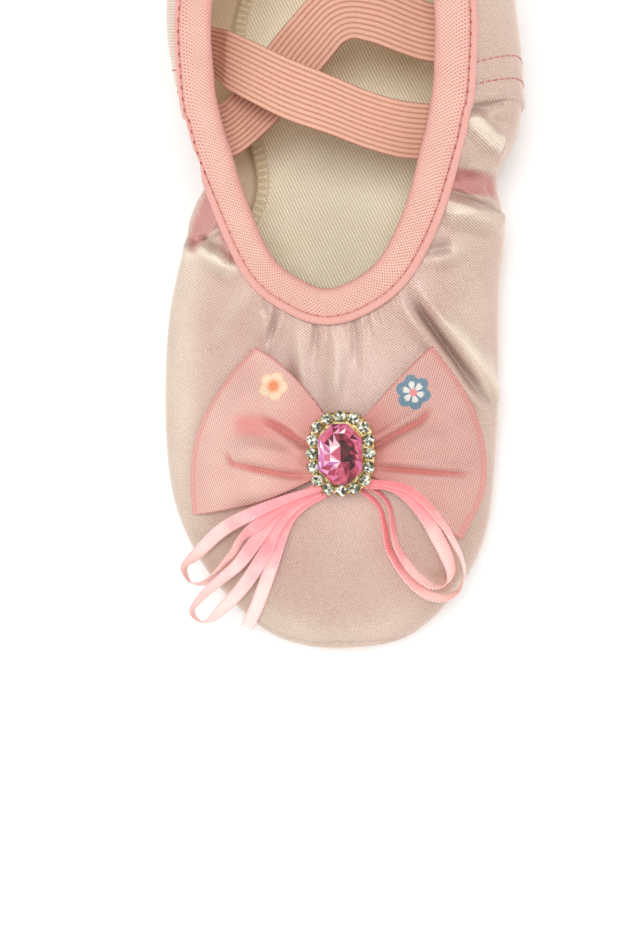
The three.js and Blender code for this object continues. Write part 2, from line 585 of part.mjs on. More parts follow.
// Wing of the bow: a loop of cloth, out along the vamp, round the fold and back over itself to the knot
function wingGeometry(upper, folds) {
  const column = (name) => openCurve(folds.map((f) => point(f[name], 0, 0)));
  const columns = { knotX: column("knotX"), knotY: column("knotY"), edgeX: column("edgeX") };
  Object.assign(columns, { edgeY: column("edgeY"), bulge: column("bulge") });
  const middle = (t, across) => {
    const out = 1 + WING_FOLD_ROUND - Math.hypot(1 - 2 * t, WING_FOLD_ROUND);
    const read = (name) => columns[name].getPoint(across).x;
    const x = THREE.MathUtils.lerp(read("knotX"), read("edgeX"), out);
    const straightY = THREE.MathUtils.lerp(read("knotY"), read("edgeY"), out);
    const y = straightY + read("bulge") * Math.sin(Math.PI * out);
    const above = smooth(t, 0.47, 0.53);
    const open = THREE.MathUtils.lerp(WING_KNOT_OPENING, WING_FOLD_OPENING, smooth(out, 0, 0.35));
    const puff = WING_PUFF * Math.sin(Math.PI * Math.pow(out, 1.4)) * Math.sin(Math.PI * across);
    const height = vampHeight(upper, x, y);
    const riseAcross = vampHeight(upper, x + 0.5, y) - vampHeight(upper, x - 0.5, y);
    const riseAlong = vampHeight(upper, x, y + 0.5) - vampHeight(upper, x, y - 0.5);
    const steepness = Math.hypot(1, riseAcross, riseAlong);
    return point(x, y, height + Math.min(steepness, 2.6) * (WING_LIFT + above * (open + puff)));
  };
  const evenSteps = Array.from({ length: WING_STEPS + 1 }, (_, i) => i / WING_STEPS);
  const steps = [...evenSteps, ...WING_FOLD_STEPS].sort((a, b) => a - b);
  const lines = Array.from({ length: WING_LINES + 1 }, (_, j) => j / WING_LINES);
  const face = (side) =>
    steps.map((t) =>
      lines.map((across) => {
        const h = 0.006;
        const [t0, t1] = [Math.max(t - h, 0), Math.min(t + h, 1)];
        const [c0, c1] = [Math.max(across - h, 0), Math.min(across + h, 1)];
        const along = middle(t1, across).sub(middle(t0, across));
        const over = middle(t, c1).sub(middle(t, c0));
        return middle(t, across).addScaledVector(over.cross(along).normalize(), (side * WING_THICKNESS) / 2);
      }),
    );
  return slabSolid(face(1), face(-1));
}

// Point on the rounded outline of the brooch, for half sizes and a turn in radians.
function broochOutline(halfX, halfY, turn) {
  const [c, s] = [Math.cos(turn), Math.sin(turn)];
  const shape = (v) => Math.sign(v) * Math.pow(Math.abs(v), 2 / BROOCH_SQUARENESS);
  return new THREE.Vector2(halfX * shape(c), halfY * shape(s));
}

const turns = (count) => Array.from({ length: count }, (_, k) => (2 * Math.PI * k) / count);
const broochShape = (halfX, halfY) =>
  new THREE.Shape(turns(BROOCH_SIDES).map((turn) => broochOutline(halfX, halfY, turn)));

// Corners of a rectangle with its corners cut off.
function cutRectangle(halfX, halfY, cut) {
  return [
    [halfX, halfY - cut],
    [halfX - cut, halfY],
    [cut - halfX, halfY],
    [-halfX, halfY - cut],
    [-halfX, cut - halfY],
    [cut - halfX, -halfY],
    [halfX - cut, -halfY],
    [halfX, cut - halfY],
  ];
}

// Places of the small stones, evenly along the ring
function stonePlaces() {
  const ring = turns(BROOCH_SIDES * 2).map((turn) => broochOutline(STONE_RING_X, STONE_RING_Y, turn));
  const places = new THREE.SplineCurve([...ring, ring[0]]).getSpacedPoints(STONE_COUNT);
  return places.slice(0, STONE_COUNT);
}

// Setting: a plate with a seat for the gem and a cup under each small stone
function settingGeometry() {
  const extrude = (shape, depth) => new THREE.ExtrudeGeometry(shape, { depth, bevelEnabled: false });
  const plate = extrude(broochShape(PLATE_HALF_X, PLATE_HALF_Y), PLATE_THICKNESS);
  const corners = (list) => list.map(([x, y]) => new THREE.Vector2(x, y));
  const seatShape = new THREE.Shape(corners(cutRectangle(SEAT_HALF_X, SEAT_HALF_Y, GEM_CUT)));
  const hollow = cutRectangle(SEAT_HALF_X - SEAT_WALL, SEAT_HALF_Y - SEAT_WALL, GEM_CUT - 0.3);
  seatShape.holes.push(new THREE.Path(corners(hollow)));
  const seat = extrude(seatShape, SEAT_TOP);
  const cups = stonePlaces().map(({ x, y }) => {
    const cup = new THREE.CylinderGeometry(CUP_RADIUS, CUP_RADIUS - 0.2, CUP_TOP, 8);
    return cup.rotateX(Math.PI / 2).translate(x, y, CUP_TOP / 2);
  });
  return joined([plate, seat, ...cups]);
}

// Gem: a long octagon with a flat table on top and a ridge below
function gemGeometry() {
  const level = (share, z) =>
    cutRectangle(GEM_HALF_X * share, GEM_HALF_Y * share, GEM_CUT * share).map(([x, y]) => point(x, y, z));
  const ridgeEnd = GEM_HALF_Y - GEM_HALF_X;
  const ridge = [point(0, ridgeEnd, GEM_RIDGE_Z), point(0, -ridgeEnd, GEM_RIDGE_Z)];
  const girdle = [...level(1, GEM_GIRDLE_Z), ...level(1, GEM_GIRDLE_Z + GEM_GIRDLE)];
  return new ConvexGeometry([...ridge, ...girdle, ...level(GEM_TABLE_SHARE, GEM_TABLE_Z)]);
}

// Small stone: a flat-backed round stone with eight sides
function stoneGeometry() {
  const level = (radius, z, offset) =>
    turns(8).map((turn) => point(radius * Math.cos(turn + offset), radius * Math.sin(turn + offset), z));
  const eighth = Math.PI / 8;
  const back = level(STONE_RADIUS * 0.8, 0, 0);
  const girdle = level(STONE_RADIUS, STONE_HEIGHT * 0.45, 0);
  return new ConvexGeometry([...back, ...girdle, ...level(STONE_RADIUS * 0.58, STONE_HEIGHT, eighth)]);
}

const group = new THREE.Group();
group.name = "ballet_flat";
group.position.x = CENTRE_X;
function addPart(parent, name, geometry, color, roughness, metalness = 0) {
  const mesh = new THREE.Mesh(geometry, new THREE.MeshStandardMaterial({ color, roughness, metalness }));
  mesh.name = name;
  parent.add(mesh);
  return mesh;
}

addPart(group, "outsole", footPlate(SOLE_OVER_SEAM, 0, SOLE_THICKNESS), 0xcdb7a4, 0.9);
const upper = addPart(group, "upper", upperGeometry(), 0xe3c6bd, 0.35);
addPart(group, "insole", insoleGeometry(), 0xece0c6, 0.85);
addPart(group, "collar_binding", bindingGeometry(), 0xedbfb0, 0.8);
addPart(group, "collar_welt", weltGeometry(), 0xebafa8, 0.7);
addPart(group, "elastic_strap_front", strapGeometry(STRAP_FRONT), 0xe4ad94, 0.75);
addPart(group, "elastic_strap_back", strapGeometry(STRAP_BACK), 0xe4ad94, 0.75);
addPart(group, "bow_wing_left", wingGeometry(upper, WING_LEFT), 0xedc2b7, 0.8);
addPart(group, "bow_wing_right", wingGeometry(upper, WING_RIGHT), 0xedc2b7, 0.8);
addPart(group, "ribbon_loop_left_upper", ribbonGeometry(LOOP_LEFT_UPPER), 0xf5bdb6, 0.35);
addPart(group, "ribbon_loop_left_lower", ribbonGeometry(LOOP_LEFT_LOWER), 0xf5bdb6, 0.35);
addPart(group, "ribbon_tail_left", ribbonGeometry(TAIL_LEFT), 0xf5bdb6, 0.35);
addPart(group, "ribbon_loop_right_outer", ribbonGeometry(LOOP_RIGHT_OUTER), 0xf5bdb6, 0.35);
addPart(group, "ribbon_loop_right_inner", ribbonGeometry(LOOP_RIGHT_INNER), 0xf5bdb6, 0.35);

// The brooch lies along the slope of the vamp, over the knot
const brooch = new THREE.Group();
brooch.position.set(BROOCH_X, BROOCH_Y, vampHeight(upper, BROOCH_X, BROOCH_Y) + BROOCH_LIFT);
brooch.rotation.set(rad(BROOCH_SLOPE_DEG), 0, rad(BROOCH_TURN_DEG));
group.add(brooch);
addPart(brooch, "brooch_setting", settingGeometry(), 0xd9b66a, 0.3, 1);
addPart(brooch, "gem", gemGeometry(), 0xe88aa6, 0.05);
stonePlaces().forEach(({ x, y }, k) => {
  const name = `rhinestone_${String(k + 1).padStart(2, "0")}`;
  const stone = addPart(brooch, name, stoneGeometry(), 0xf4f6f8, 0.05);
  stone.position.set(x, y, CUP_TOP + GAP);
});

export default group;
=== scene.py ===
"""Looks of a child's satin ballet flat: one left shoe that stands empty on a pale studio floor."""

import logging
import math
from dataclasses import dataclass, field
from enum import Enum
from typing import NamedTuple, Optional, Sequence, Union

import bpy
import numpy as np
from mathutils import Matrix, Vector
from mathutils.bvhtree import BVHTree


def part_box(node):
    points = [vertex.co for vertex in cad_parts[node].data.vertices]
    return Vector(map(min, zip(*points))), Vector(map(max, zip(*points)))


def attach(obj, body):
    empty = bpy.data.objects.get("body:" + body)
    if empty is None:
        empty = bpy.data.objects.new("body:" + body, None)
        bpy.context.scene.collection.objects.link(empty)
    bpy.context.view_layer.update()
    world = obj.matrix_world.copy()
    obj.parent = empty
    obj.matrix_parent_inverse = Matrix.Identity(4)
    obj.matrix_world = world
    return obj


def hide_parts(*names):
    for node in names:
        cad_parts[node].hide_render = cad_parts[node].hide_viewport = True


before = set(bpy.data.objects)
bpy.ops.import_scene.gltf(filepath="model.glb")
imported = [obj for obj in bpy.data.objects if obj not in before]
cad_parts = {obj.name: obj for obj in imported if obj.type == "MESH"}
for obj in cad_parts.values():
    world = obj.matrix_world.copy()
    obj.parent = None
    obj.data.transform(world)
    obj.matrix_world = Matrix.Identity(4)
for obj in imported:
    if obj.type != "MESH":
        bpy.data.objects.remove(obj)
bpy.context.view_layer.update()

LOG = logging.getLogger("ballet_flat")

# Sizes in this script are millimetres, measured from the middle of the throat. The frame is in metres.
MM = 0.001
CENTRE = np.array([-0.8, 0.0, 0.0])
UP = np.array([0.0, 0.0, 1.0])
IMAGE_HEIGHT = 931
BODY = "root"

# Names of the mesh attributes that materials and node trees read
CLOTH = "cloth"
FACET = "facet"
LAY = "lay"

Array = np.ndarray
Colour = tuple[float, float, float, float]
Span = tuple[float, float]
Point = tuple[float, float, float]
Material = bpy.types.Material
Piece = bpy.types.Object


class Slot(Enum):
    """Material slots of the record."""

    SOLE = "sole"
    SATIN = "satin"
    INSOLE = "insole_cloth"
    BINDING = "binding_cloth"
    ELASTIC = "elastic"
    BOW = "bow_cloth"
    RIBBON = "ribbon"
    GILT = "gilt"
    GEM = "gem_glass"
    STONE = "stone_glass"


class Section(NamedTuple):
    """One section of the last: its widest line, then its collar.

    Places along are shares of the length from toe to heel, and sides are shares of half the ball width.
    """

    along: float
    left: float
    right: float
    wide_z: float
    tuck: float
    collar_along: float
    collar_left: float
    collar_right: float
    climb: float


SECTIONS = (
    (0.0, 0.0, 0.0, 8.5, 9, 0.412, 0.0, 0.0, 0.0),
    (0.016, 0.37, 0.37, 8.6, 9, 0.416, 0.11, 0.12, 0.01),
    (0.058, 0.645, 0.635, 8.8, 9, 0.427, 0.22, 0.24, 0.035),
    (0.118, 0.855, 0.81, 9, 9.5, 0.442, 0.33, 0.35, 0.07),
    (0.185, 0.995, 0.9, 9.3, 10, 0.462, 0.42, 0.44, 0.105),
    (0.275, 1.045, 0.94, 9.8, 10.5, 0.486, 0.485, 0.51, 0.14),
    (0.365, 1.05, 0.945, 10.4, 11, 0.513, 0.54, 0.573, 0.18),
    (0.455, 1.01, 0.96, 11.4, 11.5, 0.54, 0.587, 0.624, 0.23),
    (0.525, 0.9, 0.985, 12.6, 12, 0.566, 0.63, 0.664, 0.285),
    (0.585, 0.675, 0.94, 14.5, 9.5, 0.592, 0.667, 0.7, 0.335),
    (0.637, 0.78, 1.06, 17, 12.5, 0.623, 0.71, 0.741, 0.395),
    (0.705, 0.885, 1.08, 19, 13.5, 0.68, 0.75, 0.785, 0.515),
    (0.81, 0.91, 1.015, 20, 13, 0.778, 0.73, 0.78, 0.715),
    (0.91, 0.71, 0.79, 20, 12, 0.873, 0.53, 0.6, 0.88),
    (0.978, 0.36, 0.43, 20, 12, 0.928, 0.25, 0.32, 0.975),
    (1.0, -0.04, 0.04, 20, 12, 0.944, -0.03, 0.03, 1.0),
)


def tint(code: str) -> Colour:
    """Gives the linear colour of a six-digit web colour."""
    shares = [int(code[k:k + 2], 16) / 255 for k in (0, 2, 4)]
    linear = [s / 12.92 if s <= 0.04045 else ((s + 0.055) / 1.055) ** 2.4 for s in shares]
    return (linear[0], linear[1], linear[2], 1.0)


def smooth_step(value: Array, low: float, high: float) -> Array:
    """Goes from 0 at low to 1 at high, level at both ends."""
    share = np.clip((np.asarray(value, float) - low) / (high - low), 0.0, 1.0)
    return share * share * (3.0 - 2.0 * share)


def unit(vectors: Array) -> Array:
    """Scales vectors to length one."""
    return vectors / np.linalg.norm(vectors, axis=-1, keepdims=True)


@dataclass
class Curve:
    """A smooth curve through the rows of a table, read at places counted in rows."""

    rows: Array
    closed: bool = False
    tangent_step: float = 0.005

    def at(self, place: Array) -> Array:
        """Reads the curve.

        Args:
            place: Where to read.

        Returns:
            The curve's values, with the columns of the table as the last axis.
        """
        rows, count = self.rows, len(self.rows)
        place = np.asarray(place, float)
        if self.closed:
            padded = np.concatenate([rows[-1:], rows, rows[:2]])
            place = np.mod(place, count)
        else:
            padded = np.concatenate([2 * rows[:1] - rows[1:2], rows, 2 * rows[-1:] - rows[-2:-1]])
        span = np.clip(np.floor(place).astype(int), 0, count - (1 if self.closed else 2))
        part = (place - span)[..., None]
        a, b, c, d = (padded[span + k] for k in range(4))
        cubic = (3 * b - a - 3 * c + d) * part**3
        return 0.5 * (2 * b + (c - a) * part + (2 * a - 5 * b + 4 * c - d) * part**2 + cubic)

    def tangent(self, place: Array) -> Array:
        """Gives the direction of the curve.

        Args:
            place: Where to read.

        Returns:
            Unit vectors, from the table's first three columns.
        """
        low, high = np.asarray(place) - self.tangent_step, np.asarray(place) + self.tangent_step
        if not self.closed:
            low, high = np.maximum(low, 0), np.minimum(high, len(self.rows) - 1)
        return unit((self.at(high) - self.at(low))[..., :3])


def path_lengths(points: Array) -> Array:
    """Gives the distance along a line of points, from 0 at the first one."""
    steps = np.linalg.norm(np.diff(points, axis=0), axis=1)
    return np.concatenate([[0.0], np.cumsum(steps)])


def bezier(corners: Sequence[Array], share: Array) -> Array:
    """Reads a cubic curve with four corners at a share of its way."""
    t = share[..., None]
    a, b, c, d = corners
    return a * (1 - t) ** 3 + 3 * b * t * (1 - t) ** 2 + 3 * c * t**2 * (1 - t) + d * t**3


@dataclass
class Last:
    """The form that the shoe is made on, as a wall around the foot.

    A row goes round the shoe, from the toe along the right side to the heel and back along the left. A
    height goes from -1 at the sole seam, past 0 at the widest line, to 1 at the collar.
    """

    length: float = 176.0
    ball_width: float = 75.0
    throat_height: float = 25.0
    heel_height: float = 46.0
    sole_thickness: float = 2.2
    gap: float = 0.3
    toe_spring: float = 3.0
    spring_start: float = 0.34
    spring_past_toe: float = 6.0
    spring_power: float = 1.4
    arch_lift: float = 1.6
    arch_start: float = 0.1
    arch_length: float = 0.34
    fine_steps: int = 60
    seam_smoothing: float = 0.8
    rise_share: float = 0.55
    crown_share: float = 0.5
    crown_slope_share: float = 0.6
    least_reach: float = 2.5
    panel_row: float = 10.5
    panel_step: float = 0.5
    tuck_share: float = 0.6
    wide: Curve = field(init=False)
    collar: Curve = field(init=False)
    rows: int = field(init=False)

    def __post_init__(self) -> None:
        """Makes the closed curves of the widest line and the collar."""
        end = len(SECTIONS) - 1
        self.rows = 2 * end
        wide, collar = [], []
        for row in range(self.rows):
            section = Section(*SECTIONS[min(row, self.rows - row)])
            side, collar_side = section.right, section.collar_right
            if row > end:
                side, collar_side = -section.left, -section.collar_left
            half = self.ball_width / 2
            wide.append((side * half, (section.along - 0.5) * self.length, section.wide_z, section.tuck))
            height = self.throat_height + (self.heel_height - self.throat_height) * section.climb
            collar.append((collar_side * half, (section.collar_along - 0.5) * self.length, height))
        self.wide = Curve(np.array(wide, float), closed=True)
        self.collar = Curve(np.array(collar, float), closed=True)

    def sole_lift(self, y: Array) -> Array:
        """Gives the height of the sole's underside above the floor at places along the shoe."""
        past_toe = self.length / 2 + self.spring_past_toe
        spring = smooth_step(-y, self.spring_start * self.length, past_toe) ** self.spring_power
        along_arch = np.clip((y / self.length + self.arch_start) / self.arch_length, 0, 1)
        return self.toe_spring * spring + self.arch_lift * np.sin(np.pi * along_arch) ** 2

    def seam_height(self, y: Array) -> Array:
        """Gives the height of the sole seam at places along the shoe."""
        return self.sole_lift(y) + self.sole_thickness + self.gap

    def seam(self, row: Array, outwards: float = 0.0) -> Array:
        """Gives the line where the upper meets the sole.

        Args:
            row: Places round the shoe.
            outwards: How far the line is moved out.

        Returns:
            The points, in millimetres.
        """
        wide = self.wide.at(row)
        chord = self.wide.at(row + self.seam_smoothing)
        chord = chord - self.wide.at(row - self.seam_smoothing)
        inwards = unit(np.stack([-chord[..., 1], chord[..., 0]], axis=-1))
        place = wide[..., :2] + inwards * (wide[..., 3:] - outwards)
        height = self.seam_height(place[..., 1])
        return np.concatenate([place, height[..., None]], axis=-1)

    def face(self, row: Array, height: Array) -> Array:
        """Gives points on the outer face of the wall.

        Args:
            row: Places round the shoe.
            height: Places up the wall, of the same shape.

        Returns:
            The points, in millimetres.
        """
        wide = self.wide.at(row)[..., :3]
        collar = self.collar.at(row)
        seam = self.seam(row)
        under = seam + (wide - seam) * self.tuck_share
        under[..., 2] = self.seam_height(under[..., 1])
        turn = wide.copy()
        turn[..., 2] -= self.tuck_share * (wide[..., 2] - seam[..., 2])
        out = wide - collar
        reach = np.hypot(out[..., 0], out[..., 1])
        chord = np.linalg.norm(out, axis=-1)
        slope = self.crown_slope_share * np.arctan2(collar[..., 2] - wide[..., 2], reach)
        rise = wide.copy()
        rise[..., 2] += self.rise_share * (collar[..., 2] - wide[..., 2])
        along = self.crown_share * chord * np.cos(slope) / np.hypot(reach, self.least_reach)
        crown = collar.copy()
        crown[..., :2] += out[..., :2] * along[..., None]
        crown[..., 2] -= self.crown_share * chord * np.sin(slope)
        tuck = bezier((seam, under, turn, wide), np.clip(1 + height, 0, 1))
        wall = bezier((wide, rise, crown, collar), np.clip(height, 0, 1))
        return np.where((height < 0)[..., None], tuck, wall)

    def normal(self, row: Array, height: Array) -> Array:
        """Gives the outward normal of the wall's face at rows and heights."""
        step = 0.02
        up = self.face(row, np.minimum(height + step, 1)) - self.face(row, np.maximum(height - step, -1))
        along = self.face(row + step, height) - self.face(row - step, height)
        return unit(np.cross(along, up))

    def beyond(self, row: Array, height: Array, by: Array) -> Array:
        """Gives points outside the wall's face by distances."""
        return self.face(row, height) + self.normal(row, height) * by[..., None]

    def lap(self, row: Array, blend: float) -> Array:
        """Gives 1 on the heel panel and 0 on the vamp, with a blend between them in rows."""
        from_toe = np.minimum(row, self.rows - row)
        return smooth_step(from_toe, self.panel_row - blend, self.panel_row + blend)

    def even_rows(self, count: int) -> Array:
        """Gives rows that lie evenly along the collar, count of them round the shoe."""
        fine = np.linspace(0, self.rows, self.fine_steps * self.rows + 1)
        lengths = path_lengths(self.collar.at(fine))
        return np.interp(np.arange(count) * lengths[-1] / count, lengths, fine)


Value = Union["Wire", float, int, str, Sequence[float]]


class Wire:
    """A node's output that takes part in Python expressions."""

    def __init__(self, nodes: "Nodes", socket: bpy.types.NodeSocket) -> None:
        """Keeps an output socket and the tree that it is in."""
        self.nodes = nodes
        self.socket = socket

    def beside(self, output: Union[int, str]) -> "Wire":
        """Gives another output of the same node."""
        return Wire(self.nodes, self.socket.node.outputs[output])

    def __add__(self, other: Value) -> "Wire":
        """Adds a value."""
        return self.nodes.function("ADD", self, other)

    def __radd__(self, other: Value) -> "Wire":
        """Adds to a value."""
        return self.nodes.function("ADD", other, self)

    def __sub__(self, other: Value) -> "Wire":
        """Takes a value away."""
        return self.nodes.function("SUBTRACT", self, other)

    def __rsub__(self, other: Value) -> "Wire":
        """Is taken away from a value."""
        return self.nodes.function("SUBTRACT", other, self)

    def __mul__(self, other: Value) -> "Wire":
        """Multiplies by a value."""
        return self.nodes.function("MULTIPLY", self, other)

    def __truediv__(self, other: Value) -> "Wire":
        """Divides by a value."""
        return self.nodes.function("DIVIDE", self, other)

    def __pow__(self, other: Value) -> "Wire":
        """Raises to a power."""
        return self.nodes.function("POWER", self, other)


class Nodes:
    """A node tree under construction."""

    def __init__(self, tree: bpy.types.NodeTree) -> None:
        """Starts with an empty tree."""
        self.tree = tree
        self.tree.nodes.clear()

    def add(
        self,
        kind: str,
        settings: Optional[dict] = None,
        sockets: Optional[dict] = None,
        output: Union[int, str, None] = 0,
    ) -> Optional[Wire]:
        """Adds one node.

        Args:
            kind: The node's type.
            settings: Its properties, set first. The stops of a ramp are pairs of a place and a colour.
            sockets: Values, wires or web colours for its inputs, by name or number.
            output: Which of its outputs to give back, if any.

        Returns:
            The output as a wire.
        """
        node = self.tree.nodes.new(kind)
        for name, value in (settings or {}).items():
            if name == "stops":
                elements = node.color_ramp.elements
                while len(elements) < len(value):
                    elements.new(1.0)
                for element, (place, colour) in zip(elements, value):
                    element.position = place
                    element.color = colour
            else:
                setattr(node, name, value)
        for key, value in (sockets or {}).items():
            socket = node.inputs[key]
            if isinstance(value, Wire):
                self.tree.links.new(value.socket, socket)
            elif isinstance(value, str) and socket.type == "RGBA":
                socket.default_value = tint(value)
            else:
                socket.default_value = value
        return None if output is None else Wire(self, node.outputs[output])

    def function(self, operation: str, *values: Value) -> Wire:
        """Adds a Math node such as a sine or an absolute value."""
        return self.add("ShaderNodeMath", {"operation": operation}, dict(enumerate(values)))


class Shader(Nodes):
    """A material under construction."""

    def __init__(self, name: str) -> None:
        """Starts an empty node material."""
        self.material = bpy.data.materials.new(name)
        self.material.use_nodes = True
        super().__init__(self.material.node_tree)

    def places(self) -> Wire:
        """Gives the place on the piece in millimetres, as a vector."""
        place = self.add("ShaderNodeTexCoord", output="Object")
        return self.add("ShaderNodeVectorMath", {"operation": "SCALE"}, {0: place, "Scale": 1 / MM})

    def cloth(self) -> Wire:
        """Gives the piece's own cloth attribute, as a vector."""
        return self.add("ShaderNodeAttribute", {"attribute_name": CLOTH}, output="Vector")

    def split(self, vector: Wire) -> tuple[Wire, Wire, Wire]:
        """Takes a vector apart."""
        first = self.add("ShaderNodeSeparateXYZ", {}, {0: vector})
        return first, first.beside(1), first.beside(2)

    def wave(self, value: Wire, pitch: float) -> Wire:
        """Gives a soft wave from 0 to 1 that repeats at a pitch."""
        return self.function("SINE", value * (2 * math.pi / pitch)) * 0.5 + 0.5

    def step(self, value: Value, low: float, high: float) -> Wire:
        """Goes smoothly from 0 at low to 1 at high."""
        limits = {"Value": value, "From Min": low, "From Max": high}
        return self.add("ShaderNodeMapRange", {"interpolation_type": "SMOOTHSTEP"}, limits)

    def mix(self, share: Value, first: Value, second: Value) -> Wire:
        """Mixes two colours."""
        return self.add("ShaderNodeMix", {"data_type": "RGBA"}, {0: share, 6: first, 7: second}, 2)

    def noise(self, vector: Wire, scale: float, detail: float = 2.0) -> Wire:
        """Gives noise from 0 to 1, with a scale in turns a millimetre."""
        return self.add("ShaderNodeTexNoise", {}, {"Vector": vector, "Scale": scale, "Detail": detail})

    def bump(self, height: Wire, depth: float, strength: float = 1.0) -> Wire:
        """Gives the normal of a surface with a relief of a depth in millimetres."""
        relief = {"Height": height, "Distance": depth * MM, "Strength": strength}
        return self.add("ShaderNodeBump", {}, relief)

    def finish(self, sockets: dict) -> Material:
        """Ends in a principled shader with these inputs.

        Args:
            sockets: Values or wires of the shader, by name.

        Returns:
            The finished material.
        """
        surface = self.add("ShaderNodeBsdfPrincipled", {}, sockets)
        self.add("ShaderNodeOutputMaterial", {}, {"Surface": surface}, None)
        return self.material


@dataclass(frozen=True)
class Finish:
    """A look that a material is made of."""

    name: str

    def material(self) -> Material:
        """Makes the material."""
        shader = Shader(self.name)
        return shader.finish(self.sockets(shader))

    def sockets(self, s: Shader) -> dict:
        """Gives the shader's inputs, by name.

        Args:
            s: The shader to draw in.

        Returns:
            Values, wires or web colours of the principled shader.
        """
        raise NotImplementedError


@dataclass(frozen=True)
class Satin(Finish):
    """Pale satin with a fine slanting weave.

    The colour carries painted light: a cream painted sheen on surfaces that tilt, strongest where they face
    left, a pale painted highlight on the ridges, grey-brown painted shade in the folds and pink painted
    shade in the hollows. The cloth attribute is the strength of the painted sheen, with its strongest on the
    ridges, the strength of the weave, and the depth of the folds' painted shade, below zero in the rosy
    hollows.
    """

    name: str = "pale_satin"
    light: str = "d2b2a6"
    deep: str = "a77f76"
    # Painted light: cream tones are painted sheen, ridge a painted highlight, fold and hollow painted shade
    painted_sheen_light: str = "dac7b7"
    painted_sheen_deep: str = "ae9184"
    ridge: str = "ecdccd"
    fold: str = "7d5f57"
    hollow: str = "b66565"
    painted_side_sheen: float = 0.6
    weave_line: Point = (0.57, 0.82, -0.06)
    weave_pitch: float = 0.47
    gloss_index: float = 2.3
    gloss_roughness: float = 0.48

    def sockets(self, s: Shader) -> dict:
        """Gives the shader's inputs, by name."""
        mm = s.places()
        cast, grain, depth = s.split(s.cloth())
        broad = s.noise(mm, 0.05)
        speck = s.noise(mm, 4.0, 1.0)
        line = {0: mm, 1: self.weave_line}
        across = s.add("ShaderNodeVectorMath", {"operation": "DOT_PRODUCT"}, line, "Value")
        lines = s.wave(across + speck * 0.25, self.weave_pitch) - 0.5
        weave = lines * grain * 0.4 + speck * 0.6 + 0.2
        shade = s.step(broad * 0.25 + weave * 0.75, 0.25, 0.73)
        # Painted sheen: creamier tones where the surface tilts, from the cloth attribute's first value
        cream = s.step(cast, 0.0, self.painted_side_sheen)
        low = s.mix(cream, self.deep, self.painted_sheen_deep)
        high = s.mix(cream, self.light, self.painted_sheen_light)
        ground = s.mix(shade, low, high)
        # Painted highlight: the ridges are painted paler
        ground = s.mix(s.step(cast, self.painted_side_sheen, 1.0) * (0.4 + shade * 0.5), ground, self.ridge)
        # Painted shade: the folds are painted grey-brown
        ground = s.mix(s.step(depth, 0.0, 0.9) * 0.6, ground, self.fold)
        return {
            # Painted shade: the rosy hollows are painted pink
            "Base Color": s.mix(s.step(depth * -1.0, 0.0, 0.8) * 0.85, ground, self.hollow),
            "Metallic": 0.2,
            "Roughness": 0.5, "Specular IOR Level": 0.5,
            "Sheen Weight": 0.6, "Sheen Roughness": 0.35, "Sheen Tint": "fff3e4",
            "Coat Weight": 0.1 + shade * 0.8,
            "Coat Roughness": self.gloss_roughness,
            "Coat IOR": self.gloss_index,
            "Coat Tint": "fffdf6",
            "Normal": s.bump(weave, 0.06, 0.6),
        }


@dataclass(frozen=True)
class KnitBand(Finish):
    """Matte knitted cloth of the binding.

    The cloth attribute is the lengthwise and crosswise measures, and 1 at the edges, where the edge tone is
    painted shade on the sides of the round band.
    """

    light: str
    deep: str
    edge: str
    pitch: float = 0.72
    roughness: float = 0.78
    depth: float = 0.14

    def sockets(self, s: Shader) -> dict:
        """Gives the shader's inputs, by name."""
        along, around, rim = s.split(s.cloth())
        wander = s.noise(s.places(), 0.9)
        first = s.wave(along + around * 0.8 + wander * 0.3, self.pitch)
        second = s.wave(along - around * 0.8 + wander * 0.2, self.pitch)
        knit = 1 - s.step(first * second, 0.15, 0.8)
        broad = s.noise(s.places(), 0.15)
        cloth = s.mix(knit * 0.85 + broad * 0.3 - 0.15, self.deep, self.light)
        return {
            # Painted shade: the band is painted darker pink towards its sides
            "Base Color": s.mix(rim * 0.45, cloth, self.edge),
            "Roughness": self.roughness, "Specular IOR Level": 0.25,
            "Sheen Weight": 0.3, "Sheen Roughness": 0.5, "Sheen Tint": "ffe4da",
            "Normal": s.bump(knit, self.depth, 0.8),
        }


@dataclass(frozen=True)
class Thread(Finish):
    """Sewing thread."""

    light: str
    deep: str

    def sockets(self, s: Shader) -> dict:
        """Gives the shader's inputs, by name."""
        fibres = s.noise(s.places(), 3.5, 3.0)
        return {
            "Base Color": s.mix(s.step(fibres, 0.35, 0.65), self.deep, self.light),
            "Roughness": 0.6, "Specular IOR Level": 0.3,
            "Normal": s.bump(fibres, 0.05),
        }


